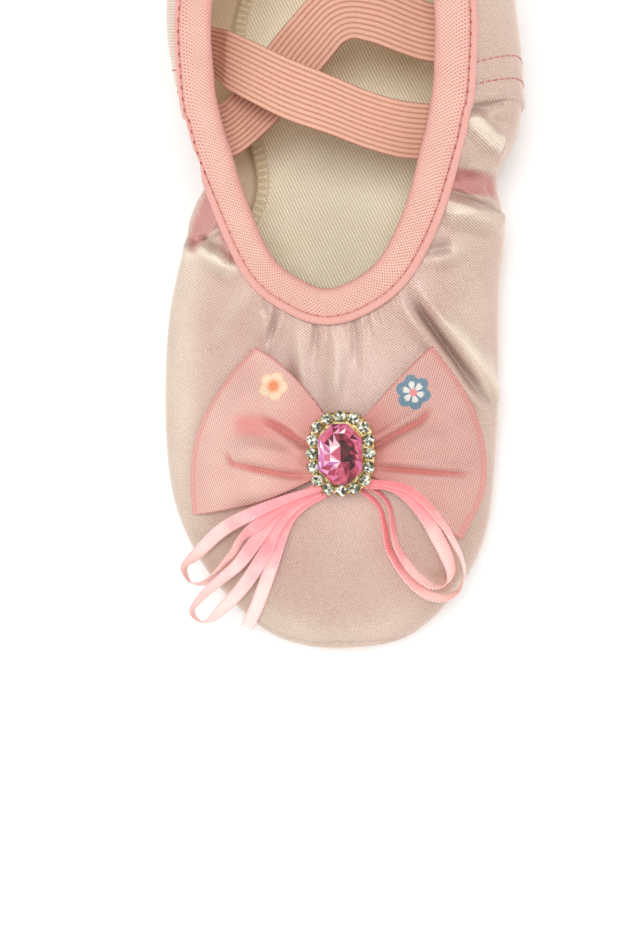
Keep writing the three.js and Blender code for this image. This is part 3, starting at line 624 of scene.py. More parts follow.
@dataclass(frozen=True)
class Twill(Finish):
    """Cream twill of the insole, with steep ribs.

    The cloth attribute is the distance from the edge, three times. A band along the edge is painted darker,
    as the shadow under the overlock threads.
    """

    name: str = "cream_twill"
    light: str = "fffae9"
    deep: str = "dfcca4"
    pitch: float = 0.76
    slant: float = 0.48
    # Painted shadow under the overlock threads, out to this width from the edge
    edge: str = "dac69f"
    overlock_shade_width: float = 3.3

    def sockets(self, s: Shader) -> dict:
        """Gives the shader's inputs, by name."""
        mm = s.places()
        x, y, _ = s.split(mm)
        wander = s.noise(mm, 0.35)
        rib = s.wave(x + y * self.slant + wander * 0.3, self.pitch) ** 0.7
        yarn = s.wave(y - x * 0.25, self.pitch * 0.75)
        broad = s.noise(mm, 0.06)
        shade = s.step(rib * 0.55 + yarn * 0.15 + broad * 0.4, 0.15, 0.85)
        from_edge, _, _ = s.split(s.cloth())
        # Painted shadow under the overlock along the edge
        border = 1 - s.step(from_edge, self.overlock_shade_width - 0.2, self.overlock_shade_width + 0.2)
        ground = s.mix(shade, self.deep, self.light)
        return {
            "Base Color": s.mix(border * 0.7, ground, self.edge),
            "Roughness": 0.85, "Specular IOR Level": 0.2,
            "Normal": s.bump(rib * 0.8 + yarn * 0.2, 0.14, 0.8),
        }


@dataclass(frozen=True)
class PlainCloth(Finish):
    """Plain close cloth of the lining."""

    light: str
    deep: str

    def sockets(self, s: Shader) -> dict:
        """Gives the shader's inputs, by name."""
        mm = s.places()
        x, y, z = s.split(mm)
        weave = s.wave(x + z * 0.6, 0.4) * s.wave(y - z * 0.5, 0.4)
        broad = s.noise(mm, 0.1, 3.0)
        shade = s.step(weave * 0.4 + broad * 0.6, 0.2, 0.7)
        return {
            "Base Color": s.mix(shade, self.deep, self.light),
            "Roughness": 0.82, "Specular IOR Level": 0.2,
            "Normal": s.bump(weave, 0.04, 0.7),
        }


@dataclass(frozen=True)
class Elastic(Finish):
    """Ribbed elastic.

    The cloth attribute is the lengthwise measure, the share of the way across, and 1 on the crest of a rib;
    the grooves between the ribs are painted darker as shade.
    """

    name: str = "salmon_elastic"
    light: str = "e3b19a"
    deep: str = "ae6c5a"
    braid_pitch: float = 0.5

    def sockets(self, s: Shader) -> dict:
        """Gives the shader's inputs, by name."""
        along, _, crest = s.split(s.cloth())
        braid = s.wave(along + crest * 0.35, self.braid_pitch)
        fibres = s.noise(s.places(), 2.4)
        # Painted shade: darker away from the crests of the ribs
        shade = s.step(crest * 0.6 + braid * 0.22 + fibres * 0.34, 0.12, 0.92)
        return {
            "Base Color": s.mix(shade, self.deep, self.light),
            "Roughness": 0.7, "Specular IOR Level": 0.3,
            "Normal": s.bump(braid * 0.6 + fibres * 0.4, 0.07, 0.8),
        }


@dataclass(frozen=True)
class Blossom:
    """A small printed flower, flat on the bow's upper cloth, as rings of petals round a centre."""

    x: float
    y: float
    radius: float
    petals: int
    turn: float
    petal: str
    rim: str
    heart: str
    rim_share: float
    heart_share: float
    heart_blur: float
    petal_split: float

    def lay_on(self, s: Shader, mm: Wire, cover: Wire, ground: Wire, mesh: Wire) -> Wire:
        """Prints the flower over a ground colour.

        Args:
            s: The shader to draw in.
            mm: Places on the piece in millimetres.
            cover: 1 where the cloth is the upper layer, 0 below.
            ground: The cloth's own colour.
            mesh: 0 in the holes of the net.

        Returns:
            The colour with the flower on it.
        """
        x, y, _ = s.split(mm)
        dx = x - (self.x + float(CENTRE[0]))
        dy = y - self.y
        reach = s.function("SQRT", dx * dx + dy * dy) / self.radius
        angle = s.function("ARCTAN2", dy, dx)
        lobe = s.function("ABSOLUTE", s.function("COSINE", angle * (self.petals / 2) + self.turn))
        edge = 0.78 + lobe * 0.22
        speckle = s.noise(mm, 2.4) - 0.5
        ragged = reach + speckle * 0.22
        flower = cover * (1 - s.step(ragged - edge, -0.05, 0.05))
        inside = 1 - s.step(ragged - edge * self.rim_share, -0.06, 0.06)
        split = s.step(lobe, 0.5 - self.petal_split * 0.5, 0.75 - self.petal_split * 0.5)
        heart = 1 - s.step(ragged, self.heart_share - self.heart_blur, self.heart_share + self.heart_blur)
        colour = s.mix(inside * split, self.rim, self.petal)
        colour = s.mix(heart, colour, self.heart)
        return s.mix(flower * (0.45 + mesh * 0.5 + speckle * 0.6), ground, colour)


@dataclass(frozen=True)
class Net(Finish):
    """Fine pink net of the bow.

    The cloth attribute is the share of the way out from the knot, the share of the way across, and 1 on the
    upper layer or 0 on the lower one, less the depth of the folds. The fold tone is painted shade near the
    knot, in the folds and on the lower layer, and the same tone marks the hem.
    """

    blossom: Blossom
    weave_turn: float
    light: str
    deep: str
    # Painted shade tone, also used for the hem
    fold: str = "d97572"
    pitch: float = 0.56

    def sockets(self, s: Shader) -> dict:
        """Gives the shader's inputs, by name."""
        mm = s.places()
        out, across, cover = s.split(s.cloth())
        wander = s.noise(mm, 0.9) * 0.2
        turn = {"Vector": mm, "Rotation": (0, 0, math.radians(self.weave_turn))}
        along, beside, _ = s.split(s.add("ShaderNodeMapping", {}, turn))
        diagonal = s.wave(along + beside * 0.62 + wander, self.pitch)
        counter = s.wave(along - beside * 0.62 - wander, self.pitch)
        mesh = 1 - s.step(diagonal * counter, 0.12, 0.75)
        broad = s.noise(mm, 0.09)
        ground = s.mix(mesh * 0.9 + broad * 0.4 - 0.2, self.deep, self.light)
        # Painted shade near the knot, in the folds and on the lower layer, with the hem
        knot = 1 - s.step(out, 0.12, 0.55)
        side = s.function("ABSOLUTE", across - 0.5)
        fold_line = s.step(out, 0.95, 0.97) - s.step(out, 0.97, 0.99)
        hem = s.function("MAXIMUM", fold_line, s.step(side, 0.485, 0.497))
        folded = 1 - s.step(cover, 0.35, 1.0)
        hem_and_shade = s.function("MAXIMUM", s.function("MAXIMUM", knot * 0.5, hem * 0.45), folded * 0.55)
        ground = s.mix(hem_and_shade, ground, self.fold)
        return {
            "Base Color": self.blossom.lay_on(s, mm, s.step(cover, 0.3, 0.5), ground, mesh),
            "Roughness": 0.6, "Specular IOR Level": 0.3,
            "Sheen Weight": 0.25, "Sheen Roughness": 0.4, "Sheen Tint": "ffe6e0",
            "Normal": s.bump(mesh, 0.06, 0.7),
        }


@dataclass(frozen=True)
class RibbonSatin(Finish):
    """Narrow pink ribbon with dotted edges.

    The cloth attribute is along in millimetres, across from -1 to 1, and 0 at the knot to 1 at the far end,
    where the ribbon is painted paler as sheen.
    """

    name: str = "pink_ribbon"
    light: str = "ffdad3"
    deep: str = "fd929a"
    dot: str = "ffe9e2"
    dot_pitch: float = 0.62

    def sockets(self, s: Shader) -> dict:
        """Gives the shader's inputs, by name."""
        along, across, away = s.split(s.cloth())
        side = s.function("ABSOLUTE", across)
        thread = s.wave(along, 0.3)
        broad = s.noise(s.places(), 0.25)
        # Painted sheen: paler towards the far end
        shade = s.step(thread * 0.2 + broad * 0.45 + away * 0.5, 0.3, 0.85)
        body = s.mix(shade, self.deep, self.light)
        rim = s.step(side, 0.72, 0.84)
        dots = s.wave(along, self.dot_pitch)
        edge = s.mix(dots, self.deep, self.dot)
        return {
            # The dotted edges, which show more towards the far end with the painted sheen
            "Base Color": s.mix(rim * (0.25 + away * 0.6), body, edge),
            "Roughness": 0.36 + rim * 0.25,
            "Metallic": 0.04,
            "Specular IOR Level": 0.5,
            "Sheen Weight": 0.2, "Sheen Tint": "ffe6e2",
            "Normal": s.bump(thread * (1 - rim) * 0.4 + dots * rim, 0.08, 0.8),
        }


@dataclass(frozen=True)
class Gilt(Finish):
    """Bright thin gilding."""

    name: str = "bright_gilt"
    light: str = "eadba9"
    deep: str = "bb9a55"

    def sockets(self, s: Shader) -> dict:
        """Gives the shader's inputs, by name."""
        wear = s.noise(s.places(), 0.9, 3.0)
        return {
            "Base Color": s.mix(s.step(wear, 0.35, 0.65), self.deep, self.light),
            "Metallic": 1.0,
            "Roughness": 0.2 + wear * 0.15,
            "Normal": s.bump(wear, 0.03, 0.6),
        }


@dataclass(frozen=True)
class PaintedFacetLight(Finish):
    """Cut glass over foil, of its own pink or grey, with painted reflections: each facet is painted one tone
    of a range, from dark to a white glint, in place of the light that it would throw back.
    """

    tones: tuple[tuple[float, str], ...]
    coat: float = 0.7
    roughness: float = 0.16

    def sockets(self, s: Shader) -> dict:
        """Gives the shader's inputs, by name."""
        facet = s.add("ShaderNodeAttribute", {"attribute_name": FACET}, output="Fac")
        stops = [(place, tint(code)) for place, code in self.tones]
        colour = s.add("ShaderNodeValToRGB", {"stops": stops}, {"Fac": facet})
        cloud = s.noise(s.places(), 0.8, 1.0)
        return {
            "Base Color": s.mix(cloud * 0.06, colour, "ffffff"),
            "Roughness": self.roughness, "Specular IOR Level": 0.5 * self.coat,
            "Coat Weight": self.coat,
            "Coat Roughness": 0.03,
        }


@dataclass(frozen=True)
class Suede(Finish):
    """Suede of the sole."""

    name: str = "tan_suede"
    light: str = "cbb39c"
    deep: str = "a88c74"

    def sockets(self, s: Shader) -> dict:
        """Gives the shader's inputs, by name."""
        mm = s.places()
        nap = s.noise(mm, 2.2, 4.0)
        broad = s.noise(mm, 0.12)
        return {
            "Base Color": s.mix(s.step(nap * 0.6 + broad * 0.4, 0.3, 0.7), self.deep, self.light),
            "Roughness": 0.92, "Specular IOR Level": 0.15,
            "Sheen Weight": 0.3,
            "Normal": s.bump(nap, 0.12, 0.8),
        }


@dataclass(frozen=True)
class FloorPaint(Finish):
    """Plain pale floor."""

    name: str = "pale_floor"
    tone: str = "fdfdfd"

    def sockets(self, s: Shader) -> dict:
        """Gives the shader's inputs, by name."""
        return {"Base Color": self.tone, "Roughness": 0.9, "Specular IOR Level": 0.1}


def put(name: str, data: bpy.types.ID) -> Piece:
    """Makes an object of a mesh, lamp or camera and links it to the scene."""
    made = bpy.data.objects.new(name, data)
    bpy.context.scene.collection.objects.link(made)
    return made


def new_piece(
    name: str,
    points: Array,
    faces: Sequence[Sequence[int]],
    material: Optional[Material] = None,
    cloth: Optional[Array] = None,
    smooth: bool = True,
) -> Piece:
    """Makes a mesh object in the frame.

    Args:
        name: The piece's name.
        points: Its points in millimetres, measured from the middle of the throat.
        faces: Its faces, as lists of point numbers.
        material: Its material, if it has one yet.
        cloth: The cloth attribute, one row for each point or for each face corner.
        smooth: Whether the faces are shaded smooth.

    Returns:
        The object, linked to the scene.
    """
    mesh = bpy.data.meshes.new(name)
    placed = (np.asarray(points, float).reshape(-1, 3) + CENTRE) * MM
    mesh.from_pydata(placed.tolist(), [], [list(map(int, face)) for face in faces])
    mesh.polygons.foreach_set("use_smooth", [smooth] * len(mesh.polygons))
    if cloth is not None:
        domain = "CORNER" if len(cloth) == len(mesh.loops) else "POINT"
        layer = mesh.attributes.new(CLOTH, "FLOAT_VECTOR", domain)
        layer.data.foreach_set("vector", np.asarray(cloth, np.float32).ravel())
    if material:
        mesh.materials.append(material)
    mesh.update()
    return put(name, mesh)


def install(piece: Piece, slot: Slot, *nodes: str) -> None:
    """Puts a piece on the shoe's body.

    Args:
        piece: The finished object.
        slot: The record's slot that its finish comes from. It is not used.
        *nodes: The solids that it stands for.
    """
    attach(piece, BODY)
    if nodes:
        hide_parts(*nodes)
    LOG.info("%s: %d faces", piece.name, len(piece.data.polygons))


def ring_faces(rows: int, columns: int) -> tuple[Array, Array, Array]:
    """Gives the faces of a band that closes on itself both ways.

    Args:
        rows: How many sections the band has.
        columns: How many points a section has.

    Returns:
        The quads, and the section and point number of each of their corners, counted past the joins.
    """
    i, k = (grid.ravel() for grid in np.meshgrid(np.arange(rows), np.arange(columns), indexing="ij"))
    after, beside = (i + 1) % rows, (k + 1) % columns
    quads = [i * columns + k, after * columns + k, after * columns + beside, i * columns + beside]
    row_corners = np.stack([i, i + 1, i + 1, i], axis=1)
    column_corners = np.stack([k, k, k + 1, k + 1], axis=1)
    return np.stack(quads, axis=1), row_corners, column_corners


def ring_piece(
    name: str, sections: Array, material: Material, depth: Optional[Array] = None
) -> Piece:
    """Makes a closed band from sections, with lengthwise and crosswise measures as its cloth attribute.

    Args:
        name: The piece's name.
        sections: Points, one closed section a row.
        material: Its material.
        depth: The third value of the cloth attribute at each point, zero where none is given.

    Returns:
        The object.
    """
    rows, columns = sections.shape[:2]
    quads, row_corners, column_corners = ring_faces(rows, columns)
    middle = sections.mean(axis=1)
    along = path_lengths(np.concatenate([middle, middle[:1]]))
    around = path_lengths(np.concatenate([sections[0], sections[0, :1]]))
    third = np.zeros(rows * columns) if depth is None else depth.ravel()
    cloth = np.stack([along[row_corners], around[column_corners], third[quads]], axis=-1)
    return new_piece(name, sections, quads, material, cloth.reshape(-1, 3))


def slab_faces(rows: int, columns: int) -> Array:
    """Gives the faces of a closed slab between a top grid and a bottom grid of points.

    Args:
        rows: Rows of each grid.
        columns: Columns of each grid.

    Returns:
        The quads, with the bottom grid's points after the top grid's.
    """
    grid = np.arange(rows * columns).reshape(rows, columns)
    corners = [grid[:-1, :-1], grid[:-1, 1:], grid[1:, 1:], grid[1:, :-1]]
    top = np.stack(corners, axis=-1).reshape(-1, 4)
    bottom = grid.size + top[:, [0, 3, 2, 1]]
    border = np.concatenate([grid[0, :-1], grid[:-1, -1], grid[-1, :0:-1], grid[:0:-1, 0]])
    ahead = np.roll(border, -1)
    sides = np.stack([border, grid.size + border, grid.size + ahead, ahead], axis=1)
    return np.concatenate([top, bottom, sides])


def slab_piece(
    name: str, top: Array, bottom: Array, material: Material, cloth: Optional[Array] = None
) -> Piece:
    """Makes a closed slab between two grids of points.

    Args:
        name: The piece's name.
        top: Points of the upper face.
        bottom: Points of the lower face.
        material: Its material.
        cloth: The cloth attribute of one grid, used on both faces.

    Returns:
        The object.
    """
    points = np.concatenate([top.reshape(-1, 3), bottom.reshape(-1, 3)])
    both = None if cloth is None else np.concatenate([cloth.reshape(-1, 3)] * 2)
    return new_piece(name, points, slab_faces(*top.shape[:2]), material, both)


def grid_normals(points: Array) -> Array:
    """Gives the normals of a grid of points, square to its columns and rows in that order."""
    return unit(np.cross(np.gradient(points, axis=1), np.gradient(points, axis=0)))


class Crease(NamedTuple):
    """A soft trough with a ridge along each side, drawn along a line on the cloth.

    The lean raises the cloth on the left of the line and lowers it on the right. A depth below zero makes a
    ridge. On the satin a ridge is painted with a highlight, a trough with shade, and a rosy crease with pink
    painted shade. The fade is the share of the line over which each end runs out.
    """

    line: tuple[Point, ...]
    depth: float
    width: float
    lean: float = 0.0
    rosy: bool = False
    fade: float = 0.22


# Makes the crest of a lean as high as the lean says
LEAN_GAIN = 1.65


def crease_field(points: Array, creases: Sequence[Crease], flat: bool = False) -> Array:
    """Works out how far creases move a cloth along its normal.

    Args:
        points: Places on the cloth in millimetres.
        creases: The creases.
        flat: Whether distances are measured in plan only.

    Returns:
        The move of each place, below zero in a trough.
    """
    seen = np.array([1, 1, 0 if flat else 1])
    places = points.reshape(-1, 3) * seen
    move = np.zeros(len(places))
    for crease in creases:
        line = np.array(crease.line, float) * seen
        lengths = path_lengths(line)
        nearest = np.full(len(places), np.inf)
        share = np.zeros(len(places))
        side = np.zeros(len(places))
        for k in range(len(line) - 1):
            span = line[k + 1] - line[k]
            offset = places - line[k]
            part = np.clip(offset @ span / (span @ span), 0, 1)
            distance = np.linalg.norm(offset - part[:, None] * span, axis=1)
            closer = distance < nearest
            nearest = np.where(closer, distance, nearest)
            place = (lengths[k] + part * (lengths[k + 1] - lengths[k])) / lengths[-1]
            share = np.where(closer, place, share)
            side = np.where(closer, np.sign(span[0] * offset[:, 1] - span[1] * offset[:, 0]), side)
        ends = smooth_step(share, 0.0, crease.fade) * smooth_step(1 - share, 0.0, crease.fade)
        u = nearest / crease.width
        trough = crease.depth * (1 - u**2) - LEAN_GAIN * crease.lean * side * u
        move -= trough * np.exp(-(u**2) / 2) * ends
    return move.reshape(points.shape[:-1])


class ThreadTree(Nodes):
    """Geometry Nodes that put one short thread on each point of a mesh, along the point's lay."""

    def __init__(self) -> None:
        """Builds the node tree."""
        super().__init__(bpy.data.node_groups.new("short_threads", "GeometryNodeTree"))
        self._socket("Geometry", "Geometry")
        self.length = self._socket("Stitch Length", "Float")
        self.radius = self._socket("Thread Radius", "Float")
        self.material = self._socket("Thread Material", "Material")
        self._socket("Geometry", "Geometry", "OUTPUT")
        mesh = self.add("NodeGroupInput")
        radius = mesh.beside("Thread Radius")
        size = {"X": mesh.beside("Stitch Length") * 0.5, "Y": radius, "Z": radius}
        scale = self.add("ShaderNodeCombineXYZ", {}, size)
        bead = self.add("GeometryNodeMeshUVSphere", {}, {"Segments": 8, "Rings": 6, "Radius": 1.0}, "Mesh")
        shaped = self.add("GeometryNodeTransform", {}, {"Geometry": bead, "Scale": scale})
        smoothed = self.add("GeometryNodeSetShadeSmooth", {}, {0: shaped})
        lay = self.add("GeometryNodeInputNamedAttribute", {"data_type": "FLOAT_VECTOR"}, {"Name": LAY})
        turned = self.add("FunctionNodeAlignRotationToVector", {"axis": "X"}, {"Vector": lay})
        beads = {"Points": mesh, "Instance": smoothed, "Rotation": turned}
        placed = self.add("GeometryNodeInstanceOnPoints", {}, beads)
        real = self.add("GeometryNodeRealizeInstances", {}, {0: placed})
        dress = {0: real, "Material": mesh.beside("Thread Material")}
        self.add("NodeGroupOutput", {}, {0: self.add("GeometryNodeSetMaterial", {}, dress)}, None)

    def _socket(self, name: str, kind: str, way: str = "INPUT") -> str:
        """Adds a named socket to the tree and gives its identifier."""
        socket = self.tree.interface.new_socket(name, in_out=way, socket_type="NodeSocket" + kind)
        return socket.identifier

    def sew(self, name: str, points: Array, lays: Array, size: Span, material: Material, slot: Slot) -> None:
        """Makes a piece of many short threads, as one plain mesh on the shoe's body.

        Args:
            name: The piece's name.
            points: Middle of each thread, in millimetres.
            lays: Direction of each thread, of any length.
            size: Length of a thread, and half its thickness.
            material: The thread's material.
            slot: The record's slot that it belongs to.
        """
        piece = new_piece(name, points, [])
        layer = piece.data.attributes.new(LAY, "FLOAT_VECTOR", "POINT")
        layer.data.foreach_set("vector", unit(lays).astype(np.float32).ravel())
        modifier = piece.modifiers.new("threads", "NODES")
        modifier.node_group = self.tree
        modifier[self.length], modifier[self.radius] = size[0] * MM, size[1] * MM
        modifier[self.material] = material
        bpy.context.view_layer.update()
        graph = bpy.context.evaluated_depsgraph_get()
        mesh = bpy.data.meshes.new_from_object(piece.evaluated_get(graph), depsgraph=graph)
        piece.modifiers.clear()
        piece.data = mesh
        install(piece, slot)


class Lamp(NamedTuple):
    """A soft square light: its place and side in metres, its power in watts and its colour."""

    name: str
    place: Point
    side: float
    power: float
    tone: str = "fffefb"


@dataclass
class Studio:
    """Camera, lights and floor."""

    target: Point = (-6.0, -47.0, 12.0)
    distance: float = 320.0
    lean_right: float = 9.0
    lean_front: float = 1.0
    focal_pixels: float = 1440.0
    sensor: float = 36.0
    floor_half: float = 1500.0
    sky: float = 0.24
    light_aim: Point = (0.0, -0.03, 0.02)
    lamps: tuple[Lamp, ...] = (
        Lamp("left", (-0.66, -0.05, 0.38), 0.85, 3.55),
        Lamp("right", (0.64, 0.06, 0.42), 0.8, 2.95),
        Lamp("front", (0.02, -0.72, 0.32), 0.6, 2.0),
        Lamp("above", (0.06, 0.05, 0.93), 0.45, 4.6, "ffffff"),
    )

    def camera(self) -> None:
        """Sets the camera over the toe, a little to the right, as the photograph has it."""
        back = unit(np.array([
            math.tan(math.radians(self.lean_right)), -math.tan(math.radians(self.lean_front)), 1.0,
        ]))
        right = unit(np.cross((0.0, 1.0, 0.0), back))
        above = np.cross(back, right)
        place = (np.array(self.target) + CENTRE + back * self.distance) * MM
        data = bpy.data.cameras.new("camera")
        data.sensor_width = self.sensor
        data.lens = self.focal_pixels * self.sensor / IMAGE_HEIGHT
        data.clip_start = 0.01
        camera = put("camera", data)
        axes = Matrix((right, above, back)).transposed().to_4x4()
        camera.matrix_world = Matrix.Translation(Vector(place)) @ axes
        bpy.context.scene.camera = camera

    def light(self, lamp: Lamp) -> None:
        """Hangs a light that looks at the shoe.

        Args:
            lamp: Its sizes and colour.
        """
        data = bpy.data.lights.new(lamp.name, "AREA")
        data.size = lamp.side
        data.energy = lamp.power
        data.color = tint(lamp.tone)[:3]
        hung = put(lamp.name, data)
        aim = Vector(self.light_aim) - Vector(lamp.place)
        hung.location = lamp.place
        hung.rotation_euler = aim.to_track_quat("-Z", "Y").to_euler()

    def lights(self) -> None:
        """Sets the soft studio light and the colour range of the picture."""
        world = bpy.data.worlds.new("studio")
        world.use_nodes = True
        sky = world.node_tree.nodes["Background"]
        sky.inputs["Color"].default_value = tint("ffffff")
        sky.inputs["Strength"].default_value = self.sky
        bpy.context.scene.world = world
        bpy.context.scene.view_settings.view_transform = "Standard"
        for lamp in self.lamps:
            self.light(lamp)

    def floor(self) -> None:
        """Lays the floor."""
        half = self.floor_half
        corners = np.array([(-half, -half, 0), (half, -half, 0), (half, half, 0), (-half, half, 0)], float)
        floor = new_piece("floor", corners, [(0, 1, 2, 3)], FloorPaint().material(), smooth=False)


# Rows of the ribbons: a place on the middle line, and the lean in degrees from lying flat
LOOP_LEFT_UPPER = (
    (-1.2, -51.8, 23.7, 0), (-8.8, -54.2, 23.6, 4), (-16.4, -57.3, 23.6, 0),
    (-24, -61.1, 21.1, 8), (-30.6, -66.5, 16.6, 40), (-34.2, -69.8, 13.8, 75),
    (-33.2, -73, 13, 95), (-30.4, -73.4, 13.4, 110), (-26.8, -71.4, 16.2, 112),
    (-22.2, -66.8, 20, 116), (-19.5, -62.9, 22.33, 112), (-15.4, -59.5, 22.2, 166),
    (-11, -56.2, 22.4, 177), (-3.2, -51.8, 22.9, 178),
)
LOOP_LEFT_LOWER = (
    (-1.6, -52, 22.2, 0), (-6.1, -54, 22, 0), (-11.6, -57.4, 21.4, 2),
    (-16.7, -63.6, 20.65, 10), (-20.8, -68.6, 18.9, 28), (-24.9, -72, 17.2, 45),
    (-29.2, -75.4, 15, 60), (-32.6, -79.4, 13, 80), (-31, -82, 12.2, 95),
    (-28.6, -81.6, 12.4, 115), (-25.6, -78.9, 13.6, 140), (-21.9, -75.5, 15.9, 155),
    (-18.2, -71.2, 18.2, 165), (-14.6, -65.6, 19.4, 176), (-12.2, -61, 20.5, 178),
    (-8.3, -56.6, 21.2, 180), (-2.2, -53, 21.6, 180),
)
TAIL_LEFT = (
    (-1.2, -53.4, 20.95, 0), (-5.4, -55.6, 20.75, 0), (-8.6, -58.2, 20.2, 0),
    (-10.6, -61.4, 19.7, 0), (-12.2, -65.2, 18.9, 3), (-14.4, -70.8, 17.6, 6),
    (-17.2, -77.4, 15.2, 12), (-20.4, -83.2, 11.6, 20),
)
LOOP_RIGHT_OUTER = (
    (5, -51.6, 21.8, 35), (8, -53.6, 21.7, 52), (10.4, -56.2, 21.3, 65),
    (11.5, -60.6, 20.8, 68), (12.2, -64.8, 20.1, 65), (14.2, -68.6, 19.2, 60),
    (16.6, -71.9, 18.1, 55), (19.8, -74.8, 16.5, 52), (23.4, -75.8, 15, 60),
    (26.6, -74.6, 14.4, 75), (28.2, -71.2, 15.4, 90), (27.9, -67.4, 18, 100),
    (26.3, -63.6, 20.6, 110), (24, -59.6, 22.6, 115), (20.4, -55.2, 24, 125),
    (15.6, -51.8, 24.8, 145), (7.6, -50.7, 23.75, 174),
)
LOOP_RIGHT_INNER = (
    (7.8, -51.6, 21.65, 30), (10.6, -53.2, 21.8, 55), (12.6, -56, 21.7, 66),
    (13.3, -60.4, 21.1, 68), (14, -64.4, 20.4, 66), (15.8, -67.8, 19.5, 60),
    (18.2, -70.8, 18.4, 58), (21.4, -73, 17.2, 65), (24.4, -72.6, 16.6, 90),
    (25.4, -70, 17, 125), (24.6, -66.8, 18.2, 150), (23, -63.2, 19.6, 168),
    (20.8, -59, 21.6, 176), (17.6, -55, 22.8, 180), (13.2, -52, 23.4, 180),
    (7.6, -51.5, 23.15, 180),
)


class FarEnd(Enum):
    """What is at the far end of a ribbon."""

    OBJECT = "object"
    BARE = "bare"


@dataclass
class Ribbons:
    """The five lengths of narrow ribbon below the bow."""

    width: float = 3.0
    thickness: float = 0.3
    picot: float = 0.1
    picot_pitch: float = 0.62
    step: float = 0.155
    route_points: int = 32
    knot_width_share: float = 0.45
    knot_reach: float = 22.0
    fine_points: int = 2000
    painted_sheen_share: Span = (0.2, 0.9)
    across: tuple[float, ...] = (-1.0, -0.9, -0.55, 0.0, 0.55, 0.9, 1.0)

    def build(self) -> None:
        material = RibbonSatin().material()
        lengths = {
            "ribbon_loop_left_upper": (LOOP_LEFT_UPPER, FarEnd.OBJECT),
            "ribbon_loop_left_lower": (LOOP_LEFT_LOWER, FarEnd.OBJECT),
            "ribbon_tail_left": (TAIL_LEFT, FarEnd.BARE),
            "ribbon_loop_right_outer": (LOOP_RIGHT_OUTER, FarEnd.OBJECT),
            "ribbon_loop_right_inner": (LOOP_RIGHT_INNER, FarEnd.OBJECT),
        }
        for node, (rows, far_end) in lengths.items():
            self._ribbon(node, Curve(np.array(rows, float)), far_end, material)

    def _ribbon(self, node: str, curve: Curve, far_end: FarEnd, material: Material) -> None:
        """Makes one ribbon.

        Args:
            node: The solid that it stands for.
            curve: Its middle line and lean.
            far_end: What its far end does.
            material: Its material.
        """
        fine = np.linspace(0, len(curve.rows) - 1, self.fine_points)
        measured = path_lengths(curve.at(fine)[:, :3])
        steps = int(measured[-1] / self.step)
        along_mm = np.linspace(0, measured[-1], steps + 1)
        place = np.interp(along_mm, measured, fine)
        middle = curve.at(place)
        tangent = curve.tangent(place)
        level = unit(np.cross(tangent, UP))
        upright = np.cross(level, tangent)
        lean = np.radians(middle[:, 3:])
        sideways = level * np.cos(lean) + upright * np.sin(lean)
        through = np.cross(sideways, tangent)
        across = np.array(self.across)
        scallop = self.picot * np.sin(2 * np.pi * along_mm / self.picot_pitch)
        from_knot = along_mm if far_end is FarEnd.BARE else np.minimum(along_mm, measured[-1] - along_mm)
        spread = smooth_step(from_knot, 0, self.knot_reach)
        spread = self.knot_width_share + (1 - self.knot_width_share) * spread
        reach = across[None, :] * spread[:, None] * self.width / 2
        reach = reach + np.where(np.abs(across) > 0.95, np.sign(across), 0.0) * scallop[:, None]
        sheet = middle[:, None, :3] + sideways[:, None] * reach[..., None]
        half = 0.5 * self.thickness * (1 - 0.5 * np.abs(across) ** 6)
        lift = through[:, None] * half[None, :, None]
        bend = measured[-1] / (2 if far_end is FarEnd.OBJECT else 1)
        # Painted sheen: the ribbon is painted paler away from the knot
        away = smooth_step(1 - np.abs(along_mm - bend) / bend, *self.painted_sheen_share)
        cloth = np.stack(np.broadcast_arrays(along_mm[:, None], across[None, :], away[:, None]), axis=-1)
        piece = slab_piece(node + "_satin", sheet + lift, sheet - lift, material, cloth)
        install(piece, Slot.RIBBON, node)
        stops = np.linspace(0, measured[-1], self.route_points)
        route = curve.at(np.interp(stops, measured, fine))
        path = [tuple(p) for p in (route[:, :3] + CENTRE) * MM]


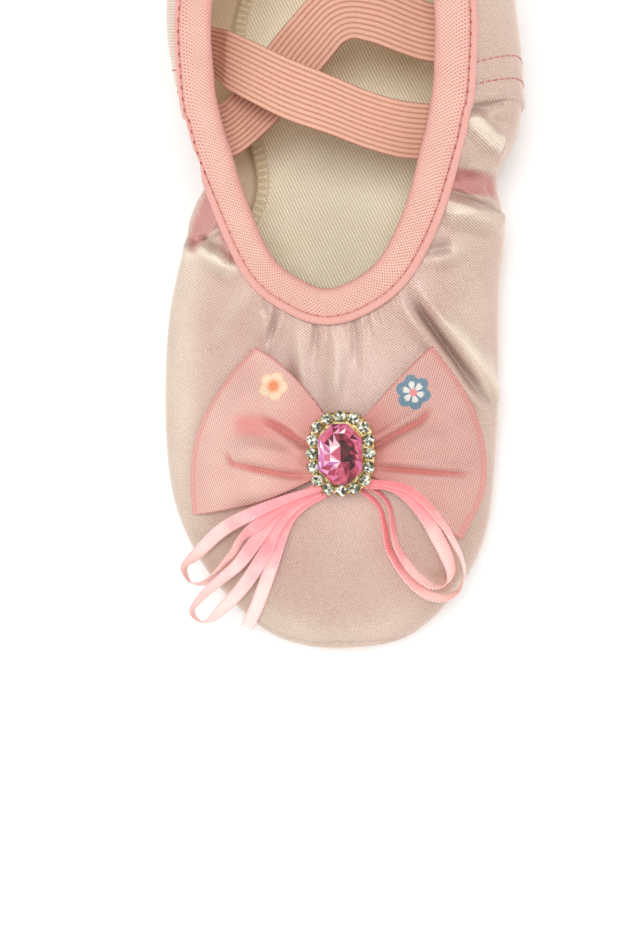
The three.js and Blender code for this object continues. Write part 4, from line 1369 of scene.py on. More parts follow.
# Folds of the satin, along lines near the wall
SATIN_FOLDS = (
    # The long fold on the right, from the collar down towards the bow
    Crease(((15.6, -9.8, 26.6), (20.1, -15.6, 25.2), (24.4, -20.8, 23.6), (29.7, -28.2, 20.4),
            (34.1, -37.3, 13.3)), 1.5, 1.5),
    Crease(((17.8, -12.7, 26), (20.1, -15.6, 25.2), (24.4, -20.8, 23.6), (29.7, -28.2, 20.4)), 0.7, 0.6),
    Crease(((22.5, -14, 25.2), (28, -21, 22.6), (32.5, -28, 18.5), (35, -36, 12)), -0.9, 3.0),
    # Folds at the right waist: under the panel, a ridge painted bright, a pleat over a hollow with pink
    # painted shade
    Crease(((29.6, 25.6, 33), (33.6, 26.9, 30.4), (38.4, 29.3, 26.4)), 0.7, 1.2),
    Crease(((29, 24.6, 33), (31.9, 22.7, 30.1), (34.3, 21.2, 27.2), (36.4, 20.8, 23.3)), -1.8, 2.2),
    Crease(((28.5, 14.4, 29.1), (31.7, 14.7, 26.1), (34.5, 16.3, 21.4)), -0.6, 1.2),
    Crease(((24.6, 11.8, 30.4), (31.1, 12, 26.3), (36.6, 12.4, 18)), 1.9, 3.4, rosy=True, fade=0.2),
    Crease(((23.4, 8.4, 30), (28.4, 8.2, 27.5), (31.7, 7.3, 25.1), (36.8, 5.4, 16)),
           0.3, 1.2, -1.0, fade=0.3),
    Crease(((23.6, 9.2, 30), (28.4, 9.1, 27.5), (31.7, 8.3, 25.1), (36.8, 6.4, 16)), 0.6, 0.5),
    Crease(((24, 5.9, 29), (28.4, 5.8, 27.1), (31.2, 5, 25), (36, 3, 17)), -0.9, 2.2),
    Crease(((19.4, -2.9, 28), (23, -2, 27.1), (27, -1, 25.9)), 0.7, 1.3),
    Crease(((22, -4.6, 26.9), (25.4, -3.4, 26.1), (29, -1, 25)), -0.3, 2.0),
    # The hollow at the left waist, with pink painted shade, the fold of cloth in it, and the pleat below
    Crease(((-22.6, 12.6, 30.2), (-26.4, 6.6, 28), (-31.5, 0, 23)), 1.5, 4.8, rosy=True, fade=0.15),
    Crease(((-32.4, 0, 23), (-26.5, 1.6, 27.2), (-24.1, 3.1, 28.3), (-20.8, 5.2, 29.4)), 0.4, 0.9),
    Crease(((-23.4, 5.4, 29), (-22.3, 1, 28.4), (-18.6, -4.4, 27.6)), 1.0, 2.4, rosy=True),
    Crease(((-34, 0.8, 20), (-29, 0.9, 26), (-26.6, 0.6, 27), (-23.1, -1.1, 27.6), (-17.6, -5.6, 27.4)),
           0.0, 1.3, -0.6, fade=0.3),
    Crease(((-34, 1.5, 20), (-29, 1.7, 26), (-26.6, 1.4, 27), (-22.6, -0.6, 27.6)), 0.6, 0.5),
    Crease(((-33.6, -1.2, 21), (-27.1, -1.6, 26.4), (-23.9, -3.2, 27), (-18.6, -8, 27)), -0.45, 2.8),
    # Puckers in front of the throat, and soft folds that run down between the wings of the bow
    Crease(((-13.6, -11.4, 26.3), (-12.6, -14.5, 25.6), (-12.2, -16, 25.3)), 0.5, 0.7),
    Crease(((-10.7, -13.4, 25.7), (-11.2, -16, 25.3), (-13.4, -21.5, 24.3)), 0.7, 0.9),
    Crease(((-2.9, -16, 25), (-3.2, -19, 24.5), (-3.4, -23.5, 24)), 0.45, 0.8),
    Crease(((5.3, -15.9, 25), (5.4, -19.5, 24.6), (5.2, -24.5, 24)), 0.5, 0.9),
    Crease(((8, -15, 25.2), (8.3, -16.6, 25), (8.6, -18.2, 24.8)), 0.45, 0.6),
    Crease(((1, -16.8, 24.8), (1.6, -24, 24), (1, -34, 23)), -0.35, 1.8),
    Crease(((-6.4, -16, 25), (-7, -23, 24.2), (-5.5, -33, 23)), -0.35, 1.7),
    Crease(((-17, -9, 26.8), (-21, -14, 24.6), (-25, -22, 21)), -0.3, 2.4),
    # The turn of the satin round the toe
    Crease(((-21.7, -77, 13), (-16.9, -81.9, 12.1), (-11.9, -84.5, 11.2), (-6.3, -86, 11), (0, -86.4, 11.2),
            (7.1, -85.9, 10.5), (13.7, -83.8, 10.3), (19.2, -80.7, 9.8)), 0.4, 0.7),
)


@dataclass
class Upper:
    """The hollow satin wall with its heel panel, creases, lining and panel stitches.

    Each row of the gathers is a place round the shoe, its reach in rows and a height.
    """

    last: Last
    threads: ThreadTree
    wall: float = 0.9
    lining_face: float = 1.0
    lining_back: float = 1.4
    steps_per_row: int = 18
    outer_steps: tuple[int, int] = (16, 57)
    inner_steps: tuple[int, int] = (7, 45)
    panel_blend: float = 0.012
    panel_fold: float = 0.22
    panel_fold_rows: float = 0.07
    stitch_rows: tuple[float, ...] = (10.84, 11.14)
    stitch_pitch: float = 1.75
    stitch_size: Span = (1.45, 0.17)
    stitch_lift: float = 0.06
    stitch_sink: float = 0.18
    stitch_span: Span = (-0.15, 0.96)
    fold_shade: float = 1.1
    rosy_shade: float = 1.5
    slim: float = 2.0
    slim_row: float = 22.2
    slim_reach: Span = (1.4, 0.6)
    slim_height: float = 0.55
    slack: float = 0.26
    least_gather: float = 0.01
    gathers: tuple[Point, ...] = ((0.0, 3.0, 0.05), (9.6, 1.9, 0.07), (21.2, 1.2, 0.03))
    # Tilts over which the painted sheen comes in, and over which it fades on steep walls
    full_painted_sheen_tilt: float = 0.12
    steep_tilt: Span = (0.35, 0.9)
    weave_seen: Span = (0.4, 0.8)
    creases: tuple[Crease, ...] = SATIN_FOLDS

    def __post_init__(self) -> None:
        """Sets the lines of the creases on the wall's face."""
        row, height = np.meshgrid(np.arange(0, self.last.rows, 0.1), np.linspace(0, 1, 41), indexing="ij")
        face = self.last.face(row, height).reshape(-1, 3)

        def settle(place: Point) -> Point:
            """Gives the nearest point of the wall."""
            return tuple(face[np.argmin(np.linalg.norm(face - np.array(place), axis=1))])

        lines = [tuple(settle(place) for place in crease.line) for crease in self.creases]
        self.creases = tuple(c._replace(line=line) for c, line in zip(self.creases, lines))

    def move(self, row: Array, height: Array) -> Array:
        """Gives how far folds and gathers move the wall outwards.

        Args:
            row: Places round the shoe.
            height: Places up the wall, of the same shape.

        Returns:
            The moves, in millimetres.
        """
        base = self.last.face(row, height)
        from_collar = np.linalg.norm(base - self.last.collar.at(row), axis=-1)
        tight = self.least_gather
        for middle, reach, strength in self.gathers:
            away = np.abs(row - middle)
            away = np.minimum(away, self.last.rows - away)
            tight = tight + strength * np.exp(-((away / reach) ** 2))
        waves = np.sin(row * 17.3 + 1.1 * np.sin(row * 5.1)) + 0.7 * np.sin(row * 29.7 + 2.0)
        pull = tight * waves * np.exp(-(((from_collar - 2.0) / 2.4) ** 2))
        sway = base[..., 1] * 0.17 + 0.4 * np.sin(base[..., 0] * 0.1)
        slack = self.slack * np.sin(base[..., 0] * 0.21 + 1.3) * np.sin(sway)
        past_waist = row - self.slim_row
        reach = np.where(past_waist > 0, *self.slim_reach)
        slim = self.slim * np.exp(-((past_waist / reach) ** 2) - (height / self.slim_height) ** 2)
        moved = crease_field(base, self.creases) + pull + slack - slim
        under_welt = 0.2 + 0.3 * np.maximum(from_collar - 1.0, 0)
        ends = smooth_step(height, -0.95, -0.3) * (1 - smooth_step(height, 0.985, 1.0))
        return np.minimum(moved, under_welt) * ends

    def looks(self, row: Array, height: Array, satin: Satin) -> Array:
        """Gives the satin's cloth attribute, which carries its painted sheen, highlights and shade.

        Args:
            row: Places round the shoe.
            height: Places up the wall, of the same shape.
            satin: The finish that reads it.

        Returns:
            The painted cream sheen, the strength of the weave, and the depth of the creases' painted shade,
            below zero where it is painted rosy.
        """
        face = self.last.face(row, height)
        normal = self.last.normal(row, height)
        # Painted shade in the troughs and rosy hollows, painted highlight on the ridges
        troughs = crease_field(face, [c for c in self.creases if c.depth > 0 and not c.rosy])
        ridges = crease_field(face, [c for c in self.creases if c.depth <= 0])
        hollows = sum(np.clip(-crease_field(face, [c]), 0, None) for c in self.creases if c.rosy)
        rosy = np.clip(hollows / self.rosy_shade, 0, 1)
        crest = np.clip(ridges / self.fold_shade, 0, 1)
        tilt = 1 - normal[..., 2]
        # Painted sheen: creamier on tilted surfaces, most on those that face left, less on steep walls
        turned = smooth_step(tilt, 0.0, self.full_painted_sheen_tilt) * (0.75 - np.clip(normal[..., 0], -0.25, 0.25))
        turned *= 1 - 0.6 * smooth_step(tilt, *self.steep_tilt)
        # Painted highlight: the ridges take the full cream
        cast = satin.painted_side_sheen * turned * (1 - crest) + crest
        grain = np.linalg.norm(np.cross(normal, np.array(satin.weave_line)), axis=-1)
        depth = np.clip(-troughs / self.fold_shade, 0, 1) * (1 - rosy) - rosy
        return np.stack([cast, smooth_step(grain, *self.weave_seen), depth], axis=-1)

    def panel(self, row: Array, height: Array) -> Array:
        """Gives how far the heel panel stands out of the vamp, with a folded edge.

        Args:
            row: Places round the shoe.
            height: Places up the wall, of the same shape.

        Returns:
            The distances, in millimetres.
        """
        from_toe = np.minimum(row, self.last.rows - row)
        lapped = self.last.lap(row, self.panel_blend)
        past_fold = (from_toe - self.last.panel_row) / self.panel_fold_rows - 1
        fold = self.panel_fold * np.exp(-(past_fold**2)) * lapped
        sunk = self.stitch_sink * sum(np.exp(-((from_toe - line) / 0.05) ** 2) for line in self.stitch_rows)
        return (self.last.panel_step * lapped + fold - sunk) * smooth_step(height, -0.7, -0.2)

    def outer(self, row: Array, height: Array, out: float = 0.0) -> Array:
        """Gives points on the satin's face, or beyond it by a distance."""
        return self.last.beyond(row, height, self.panel(row, height) + self.move(row, height) + out)

    def layer(self, rows: Array, heights: Array, depth: float) -> Array:
        """Gives a grid of points inside the wall, at a depth below its plain face."""
        row, height = np.meshgrid(rows, heights, indexing="ij")
        return self.last.beyond(row, height, self.move(row, height) - depth)

    @staticmethod
    def heights(below: int, above: int) -> Array:
        """Gives heights up the wall, so many below the widest line and so many above it."""
        return np.concatenate([np.linspace(-1, 0, below)[:-1], np.linspace(0, 1, above)])

    def rows_around(self) -> Array:
        """Works out the rows of the wall's grid.

        Returns:
            The rows, close together at the edges of the heel panel.
        """
        even = np.arange(self.last.rows * self.steps_per_row) / self.steps_per_row
        near = np.array([-3, -1.6, -0.8, 0, 0.8, 1.6, 3, 6, 9]) * self.panel_blend
        panel = self.last.panel_row
        edges = np.concatenate([panel + near, self.last.rows - panel - near])
        return np.unique(np.concatenate([even, edges]).round(5))

    def build(self) -> None:
        """Makes the satin wall, the lining and the stitches of the heel panel."""
        rows = self.rows_around()
        inside = self.heights(*self.inner_steps)
        row, height = np.meshgrid(rows, self.heights(*self.outer_steps), indexing="ij")
        back = self.layer(rows, inside[::-1], self.wall)
        wall = np.concatenate([self.outer(row, height), back], axis=1)
        satin = Satin()
        cloth = np.concatenate([self.looks(row, height, satin), np.zeros_like(back)], axis=1)
        quads = ring_faces(*wall.shape[:2])[0]
        piece = new_piece("satin_upper", wall, quads, satin.material(), cloth.reshape(-1, 3))
        install(piece, Slot.SATIN, "upper")
        layers = [
            self.layer(rows[::2], inside, self.lining_face),
            self.layer(rows[::2], inside[::-1], self.lining_back),
        ]
        lining = PlainCloth("cream_lining", "fdf0dd", "f3dcc0").material()
        install(ring_piece("upper_lining", np.concatenate(layers, axis=1), lining), Slot.SATIN)
        self._stitches()

    def _stitches(self) -> None:
        """Sews the two rows of stitches down each end of the heel panel."""
        thread = Thread("rose_thread", "d98a8c", "b4585f").material()
        for side, name in ((1, "right"), (-1, "left")):
            for number, line in enumerate(self.stitch_rows, 1):
                row = line if side > 0 else self.last.rows - line
                heights = np.linspace(*self.stitch_span, 400)
                lengths = path_lengths(self.outer(np.full(len(heights), row), heights, self.stitch_lift))
                places = np.interp(np.arange(1.0, lengths[-1], self.stitch_pitch), lengths, heights)
                at = np.full(len(places), row)
                middle = self.outer(at, places, self.stitch_lift)
                ahead = self.outer(at, np.minimum(places + 0.01, 1), self.stitch_lift)
                piece = f"panel_stitches_{name}_{number}"
                self.threads.sew(piece, middle, ahead - middle, self.stitch_size, thread, Slot.SATIN)

    def height_finder(self) -> BVHTree:
        """Makes a way to find the plain wall, for what lies on the vamp.

        Returns:
            A search tree of the wall, in millimetres.
        """
        rows = np.arange(0, self.last.rows, 0.25)
        heights = np.linspace(0, 1, 33)
        row, height = np.meshgrid(rows, heights, indexing="ij")
        points = self.last.beyond(row, height, self.panel(row, height))
        quads, _, columns = ring_faces(len(rows), len(heights))
        open_quads = quads[columns.max(axis=1) < len(heights)]
        return BVHTree.FromPolygons(points.reshape(-1, 3).tolist(), open_quads.tolist())


@dataclass
class Collar:
    """Binding and welt round the opening, and the stitches between them."""

    last: Last
    threads: ThreadTree
    count: int = 880
    binding_width: float = 5.8
    binding_thickness: float = 3.0
    binding_slope: float = 34.0
    stand_off: float = 0.75
    upper_wall: float = 1.4
    binding_sides: int = 18
    welt_width: float = 1.9
    welt_height: float = 1.0
    welt_below: float = 0.9
    welt_place: float = 0.97
    welt_stand_off: float = 0.45
    welt_sides: int = 8
    stitch_count: int = 110
    stitch_size: Span = (0.8, 0.17)
    stitch_slant: float = 0.35
    stitch_lift: float = 0.12
    dimple: float = 0.16
    pinch: float = 0.22
    panel_blend: float = 0.04

    def build(self) -> None:
        """Makes the binding, the welt and the stitches."""
        # The binding's edge tone is painted shade on its sides
        binding = KnitBand("pink_binding", "edc3b4", "c08578", "dd8d88").material()
        fine = {"pitch": 0.45, "roughness": 0.6, "depth": 0.06}
        welt = KnitBand("pink_welt", "e9b3a9", "cf8881", "db9790", **fine).material()
        turn = self._turn()
        # Painted shade: strongest at the sides of the binding's section
        rim = np.broadcast_to(np.abs(np.cos(turn)) ** 3, (self.count, len(turn)))
        install(ring_piece("knit_binding", self._binding(), binding, rim), Slot.BINDING, "collar_binding")
        install(ring_piece("narrow_welt", self._welt(), welt), Slot.BINDING, "collar_welt")
        self._stitches()

    def _turn(self) -> Array:
        """Gives the turns of the points round a section of the binding."""
        return 2 * np.pi * np.arange(self.binding_sides, 0, -1) / self.binding_sides

    def _pull(self, count: int) -> Array:
        """Gives how strongly the stitches pull, from 0 between them to 1 at each, at even places."""
        return (0.5 + 0.5 * np.cos(2 * np.pi * self.stitch_count * np.arange(count) / count)) ** 2

    def _axes(self, rows: Array) -> tuple[Array, Array, Array]:
        """Sets up the binding's own axes.

        Args:
            rows: Places round the shoe.

        Returns:
            The binding's foot line, and its directions across and through.
        """
        tangent = self.last.collar.tangent(rows)
        inwards = unit(np.stack([-tangent[:, 1], tangent[:, 0], np.zeros(len(rows))], axis=1))
        slope = math.radians(self.binding_slope)
        across = inwards * math.cos(slope) + UP * math.sin(slope)
        through = -inwards * math.sin(slope) + UP * math.cos(slope)
        ones = np.ones(len(rows))
        foot = self.last.collar.at(rows) - self.last.normal(rows, ones) * (self.upper_wall / 2)
        return foot, across, through

    def _binding(self) -> Array:
        """Shapes the plump binding, dimpled along its foot by the stitches.

        Returns:
            Its sections, one a row.
        """
        rows = self.last.even_rows(self.count)
        foot, across, through = self._axes(rows)
        centre = foot + across * (self.binding_width / 2 + self.stand_off)
        turn = self._turn()
        side = np.sign(np.cos(turn)) * np.abs(np.cos(turn)) ** 0.85
        rise = np.sign(np.sin(turn)) * np.abs(np.sin(turn)) ** 0.9
        near_foot = np.clip(-side, 0, 1) ** 3
        dimple = 1 - self.dimple * self._pull(self.count)[:, None] * near_foot[None, :]
        soft = 1 + 0.05 * np.sin(rows * 9.1)[:, None] + 0.03 * np.sin(rows * 23.0)[:, None]
        wide = 0.5 * self.binding_width * side[None, :] * np.ones((self.count, 1))
        thick = 0.5 * self.binding_thickness * rise[None, :] * dimple * soft
        band = centre[:, None] + across[:, None] * wide[..., None] + through[:, None] * thick[..., None]
        welt, up, normal = self._welt_axes(rows)
        seam = welt + up * (self.welt_width / 2 - 0.05) - normal * 0.1
        shift = seam - (centre - across * self.binding_width / 2)
        return band + near_foot[None, :, None] * shift[:, None]

    def _welt_axes(self, rows: Array) -> tuple[Array, Array, Array]:
        """Sets up the welt's own axes.

        Args:
            rows: Places round the shoe.

        Returns:
            The welt's middle line, its direction up the wall and its outward normal.
        """
        place = np.full(len(rows), self.welt_place)
        ones = np.ones(len(rows))
        normal = self.last.normal(rows, place)
        across = unit(np.cross(normal, self.last.collar.tangent(rows)))
        edge = self.last.beyond(rows, ones, self.last.panel_step * self.last.lap(rows, self.panel_blend))
        centre = edge - across * self.welt_below + normal * (self.welt_stand_off + self.welt_height / 2)
        return centre, across, normal

    def _welt(self) -> Array:
        """Shapes the narrow welt, pinched a little at each stitch.

        Returns:
            Its sections, one a row.
        """
        rows = self.last.even_rows(self.count)
        centre, across, normal = self._welt_axes(rows)
        turn = 2 * np.pi * (np.arange(self.welt_sides, 0, -1) - 0.5) / self.welt_sides
        pinch = 1 - self.pinch * self._pull(self.count)[:, None]
        wide = 0.5 * self.welt_width * np.cos(turn)[None, :] * np.ones((self.count, 1))
        thick = 0.5 * self.welt_height * np.sin(turn)[None, :] * pinch
        return centre[:, None] + across[:, None] * wide[..., None] + normal[:, None] * thick[..., None]

    def _stitches(self) -> None:
        """Sews the binding on, with a short slanting stitch at each pull."""
        rows = self.last.even_rows(self.stitch_count)
        centre, across, normal = self._welt_axes(rows)
        tangent = self.last.collar.tangent(rows)
        middle = centre + across * (self.welt_width / 2 + 0.02) + normal * self.stitch_lift
        lays = tangent + across * self.stitch_slant
        thread = Thread("binding_thread", "cf5f6c", "a8404f").material()
        self.threads.sew("binding_stitches", middle, lays, self.stitch_size, thread, Slot.BINDING)


@dataclass
class FootBed:
    """Insole with its overlocked edge, and the outsole."""

    last: Last
    threads: ThreadTree
    insole_out: float = 3.6
    insole_rise: float = 3.0
    insole_thickness: float = 1.2
    outsole_out: float = 4.0
    rungs: int = 260
    columns: int = 41
    edge_round: float = 0.45
    round_reach: float = 1.2
    insole_crown: float = 0.35
    overlock_pitch: float = 1.5
    overlock_width: float = 3.3
    overlock_slant: float = 0.75
    overlock_margin: float = 0.1
    overlock_radius: float = 0.26
    overlock_lean: float = 0.1
    chain_size: Span = (1.7, 0.3)

    def build(self) -> None:
        """Makes the insole, its edge threads and the outsole."""
        base = self.last.sole_thickness + self.last.gap + self.insole_rise
        top, bottom = self._plate(self.insole_out, base, base + self.insole_thickness, self.insole_crown)
        outline = np.concatenate([top[:, 0], top[-1, 1:-1], top[::-1, -1], top[0, -2:0:-1]])[:, :2]
        # Distance from the edge, which the twill reads for its painted shadow under the overlock
        gaps = np.linalg.norm(top[:, :, None, :2] - outline[::2], axis=-1).min(axis=2)
        cloth = np.stack([gaps, gaps, gaps], axis=-1)
        insole = slab_piece("twill_insole", top, bottom, Twill().material(), cloth)
        install(insole, Slot.INSOLE, "insole")
        self._overlock(base + self.insole_thickness)
        top, bottom = self._plate(self.outsole_out, 0.0, self.last.sole_thickness, 0.0)
        install(slab_piece("suede_outsole", top, bottom, Suede().material()), Slot.SOLE, "outsole")

    def _plate(self, out: float, low: float, high: float, crown: float) -> tuple[Array, Array]:
        """Gives the top and bottom grids of a plate under the foot.

        Args:
            out: How far its edge lies outside the sole seam.
            low: Height of its underside over the sole's.
            high: Height of its top.
            crown: How far its middle stands above its edge.

        Returns:
            The grids, from toe to heel and from left to right.
        """
        end = self.last.rows / 2
        share = 0.5 - 0.5 * np.cos(np.linspace(0.03, np.pi - 0.03, self.rungs))
        rows = end * (0.25 * share + 0.75 * np.linspace(0.004, 0.996, self.rungs))
        left = self.last.seam(self.last.rows - rows, out)
        right = self.last.seam(rows, out)
        across = np.sin(np.linspace(-0.5, 0.5, self.columns) * np.pi)
        part = (0.5 + 0.5 * across)[None, :, None]
        plan = left[:, None] * (1 - part) + right[:, None] * part
        width = np.linalg.norm(right - left, axis=1)[:, None]
        from_side = 0.5 * width * (1 - np.abs(across))[None, :]
        round_off = self.edge_round * (1 - np.clip(from_side / self.round_reach, 0, 1)) ** 2
        lift = self.last.sole_lift(plan[..., 1])
        dome = crown * (1 - across[None, :] ** 2)
        top, bottom = plan.copy(), plan.copy()
        top[..., 2] = lift + high - round_off + dome
        bottom[..., 2] = lift + low + 0.5 * round_off * (low > 0)
        return top, bottom

    def _overlock(self, high: float) -> None:
        """Sews the threads that whip the insole's edge, in slanting pairs with a chain along the inside.

        Args:
            high: Height of the insole's edge over the sole's underside.
        """
        fine = np.linspace(0, self.last.rows, 4000)
        lengths = path_lengths(self.last.seam(fine, self.insole_out))
        thread = Thread("cream_thread", "fffaec", "e9dabb").material()

        def line(shift: float, inwards: float) -> Array:
            """Gives places on the insole's face, a step along its edge and a distance in from it."""
            at = np.arange(0, lengths[-1], self.overlock_pitch) + shift
            points = self.last.seam(np.interp(at % lengths[-1], lengths, fine), self.insole_out - inwards)
            points[:, 2] = self.last.sole_lift(points[:, 1]) + high + 0.02
            return points

        slant, width = self.overlock_slant, self.overlock_width
        ends = np.concatenate([line(0.0, self.overlock_margin), line(slant, self.overlock_margin)])
        starts = np.concatenate([line(slant, width), line(0.0, width)])
        lays = ends - starts + UP * self.overlock_lean
        size = (width, self.overlock_radius)
        self.threads.sew("insole_overlock", 0.5 * (ends + starts), lays, size, thread, Slot.INSOLE)
        inside = line(0.0, width)
        ahead = line(slant, width) - inside
        self.threads.sew("insole_chain", inside, ahead, self.chain_size, thread, Slot.INSOLE)


# Rows of the straps: the edge towards the toe, then the edge towards the heel
STRAP_FRONT = (
    (26.6, 17.2, 29.8, 31.2, 27.8, 30),
    (21.2, 17.2, 26.6, 23.6, 27.6, 30.2),
    (15.9, 17.4, 27, 16, 28.6, 30.6),
    (8.6, 19.1, 29.5, 8.7, 30.8, 31.6),
    (1.4, 21.6, 32, 1.5, 33.8, 33),
    (-7.3, 24.6, 33.6, -7.1, 37.4, 34.2),
    (-14.3, 28.2, 33.8, -14.1, 41, 34.3),
    (-20, 31.7, 32.6, -19.6, 44, 33.2),
    (-22.2, 34, 30.2, -21.9, 45.4, 30.6),
    (-24.6, 35.8, 28.9, -24.8, 46.4, 29.2),
    (-29.8, 36.6, 29.4, -30.9, 47, 29.6),
)
STRAP_BACK = (
    (-24.8, 20.5, 29, -28.3, 31, 29.4),
    (-20.2, 19, 27, -23.5, 30.3, 27.6),
    (-10.8, 26.7, 26.2, -19.5, 34.4, 26.6),
    (0.1, 38, 28, -8.4, 46.6, 28.8),
    (4.6, 42, 29.4, 0.6, 53.6, 30.6),
    (9.4, 41.4, 29.6, 11.4, 53.2, 31),
    (21.8, 36.9, 29, 22.8, 48.6, 30.4),
    (33.4, 36.4, 31, 33.8, 48, 31.2),
)


@dataclass
class Straps:
    """The two ribbed elastics across the instep."""

    thickness: float = 1.0
    rib_height: float = 0.24
    ribs: int = 11
    steps: int = 170
    points_per_rib: int = 6

    def build(self) -> None:
        """Makes both straps."""
        material = Elastic().material()
        tables = {"elastic_strap_front": STRAP_FRONT, "elastic_strap_back": STRAP_BACK}
        for node, table in tables.items():
            install(self._strap(node, np.array(table, float), material), Slot.ELASTIC, node)

    def _strap(self, node: str, rows: Array, material: Material) -> Piece:
        """Makes one strap.

        Args:
            node: The solid that it stands for.
            rows: Its table of edges.
            material: The elastic's material.

        Returns:
            The object.
        """
        place = np.linspace(0, len(rows) - 1, self.steps + 1)
        edges = Curve(rows).at(place)
        toe, heel = edges[:, None, :3], edges[:, None, 3:]
        across = np.linspace(0, 1, self.ribs * self.points_per_rib + 1)
        sheet = toe + (heel - toe) * across[None, :, None]
        crest = np.abs(np.sin(np.pi * self.ribs * across)) ** 0.8
        half = 0.5 * self.thickness - self.rib_height * (1 - crest)
        normal = grid_normals(sheet)
        along = path_lengths(sheet[:, len(across) // 2])
        # The crest value also carries the elastic's painted shade in the grooves
        cloth = np.stack(np.broadcast_arrays(along[:, None], across[None, :], crest[None, :]), axis=-1)
        lift = normal * half[None, :, None]
        return slab_piece(node + "_ribbed", sheet + lift, sheet - lift, material, cloth)


# Rows of the wings: where a line of the cloth leaves the knot, where it ends, and its bulge along the shoe
WING_LEFT = (
    (1.6, -40.5, -15.7, -21.9, 2.5),
    (1.6, -42.3, -23.5, -30.2, 1),
    (1.6, -44, -29.3, -40, 0),
    (1.6, -45.8, -31.3, -49.5, -1),
    (1.6, -47.5, -31.3, -58, -2),
)
WING_RIGHT = (
    (4.2, -47.5, 27.6, -63.2, 2),
    (4.2, -45.8, 32.4, -53, 1),
    (4.2, -44, 32.6, -42.5, 0),
    (4.2, -42.3, 29, -32.3, 0),
    (4.2, -40.5, 22, -22.2, 0.5),
)
FOLDS_LEFT = (
    Crease(((-2, -43.5, 0), (-5.4, -42.9, 0), (-10.8, -39.2, 0), (-15, -37, 0)), 1.2, 0.9, 0.5),
    Crease(((-6, -41.5, 0), (-14.3, -38.5, 0), (-22, -38.5, 0)), 1.5, 3.6),
    Crease(((-2, -49.2, 0), (-10.4, -48.8, 0), (-21, -46.4, 0), (-23, -42.2, 0)), 1.3, 0.9, -0.6),
    Crease(((-4, -46.2, 0), (-13, -44.2, 0), (-20, -43.4, 0)), -1.0, 2.2),
    Crease(((-5, -51.6, 0), (-17, -52.5, 0), (-27, -54.5, 0)), -0.8, 2.4),
    Crease(((-3, -41.5, 0), (-10, -34, 0), (-16, -27, 0)), 0.4, 1.8),
)
FOLDS_RIGHT = (
    Crease(((7, -44.1, 0), (10, -42.8, 0), (14.5, -40.4, 0), (19.3, -37.8, 0), (22.5, -34, 0)),
           1.2, 0.9, 0.5),
    Crease(((7, -46.9, 0), (11.7, -47.5, 0), (22, -48.5, 0), (32, -49.1, 0)), 1.3, 0.8, 0.5),
    Crease(((9, -45.3, 0), (18, -43.4, 0), (27, -42, 0)), -1.1, 2.6),
    Crease(((9, -50.4, 0), (17, -53.4, 0), (25, -57, 0)), -0.7, 2.4),
)
BLOSSOM_LEFT = Blossom(-11.7, -30.3, 3.2, 5, 0.3, "f4dabb", "efc39c", "e98a50", 0.9, 0.4, 0.22, 1.0)
BLOSSOM_RIGHT = Blossom(18.1, -31.9, 3.8, 6, 0.9, "e4e6df", "4f8699", "e68d8f", 0.6, 0.22, 0.06, 0.35)


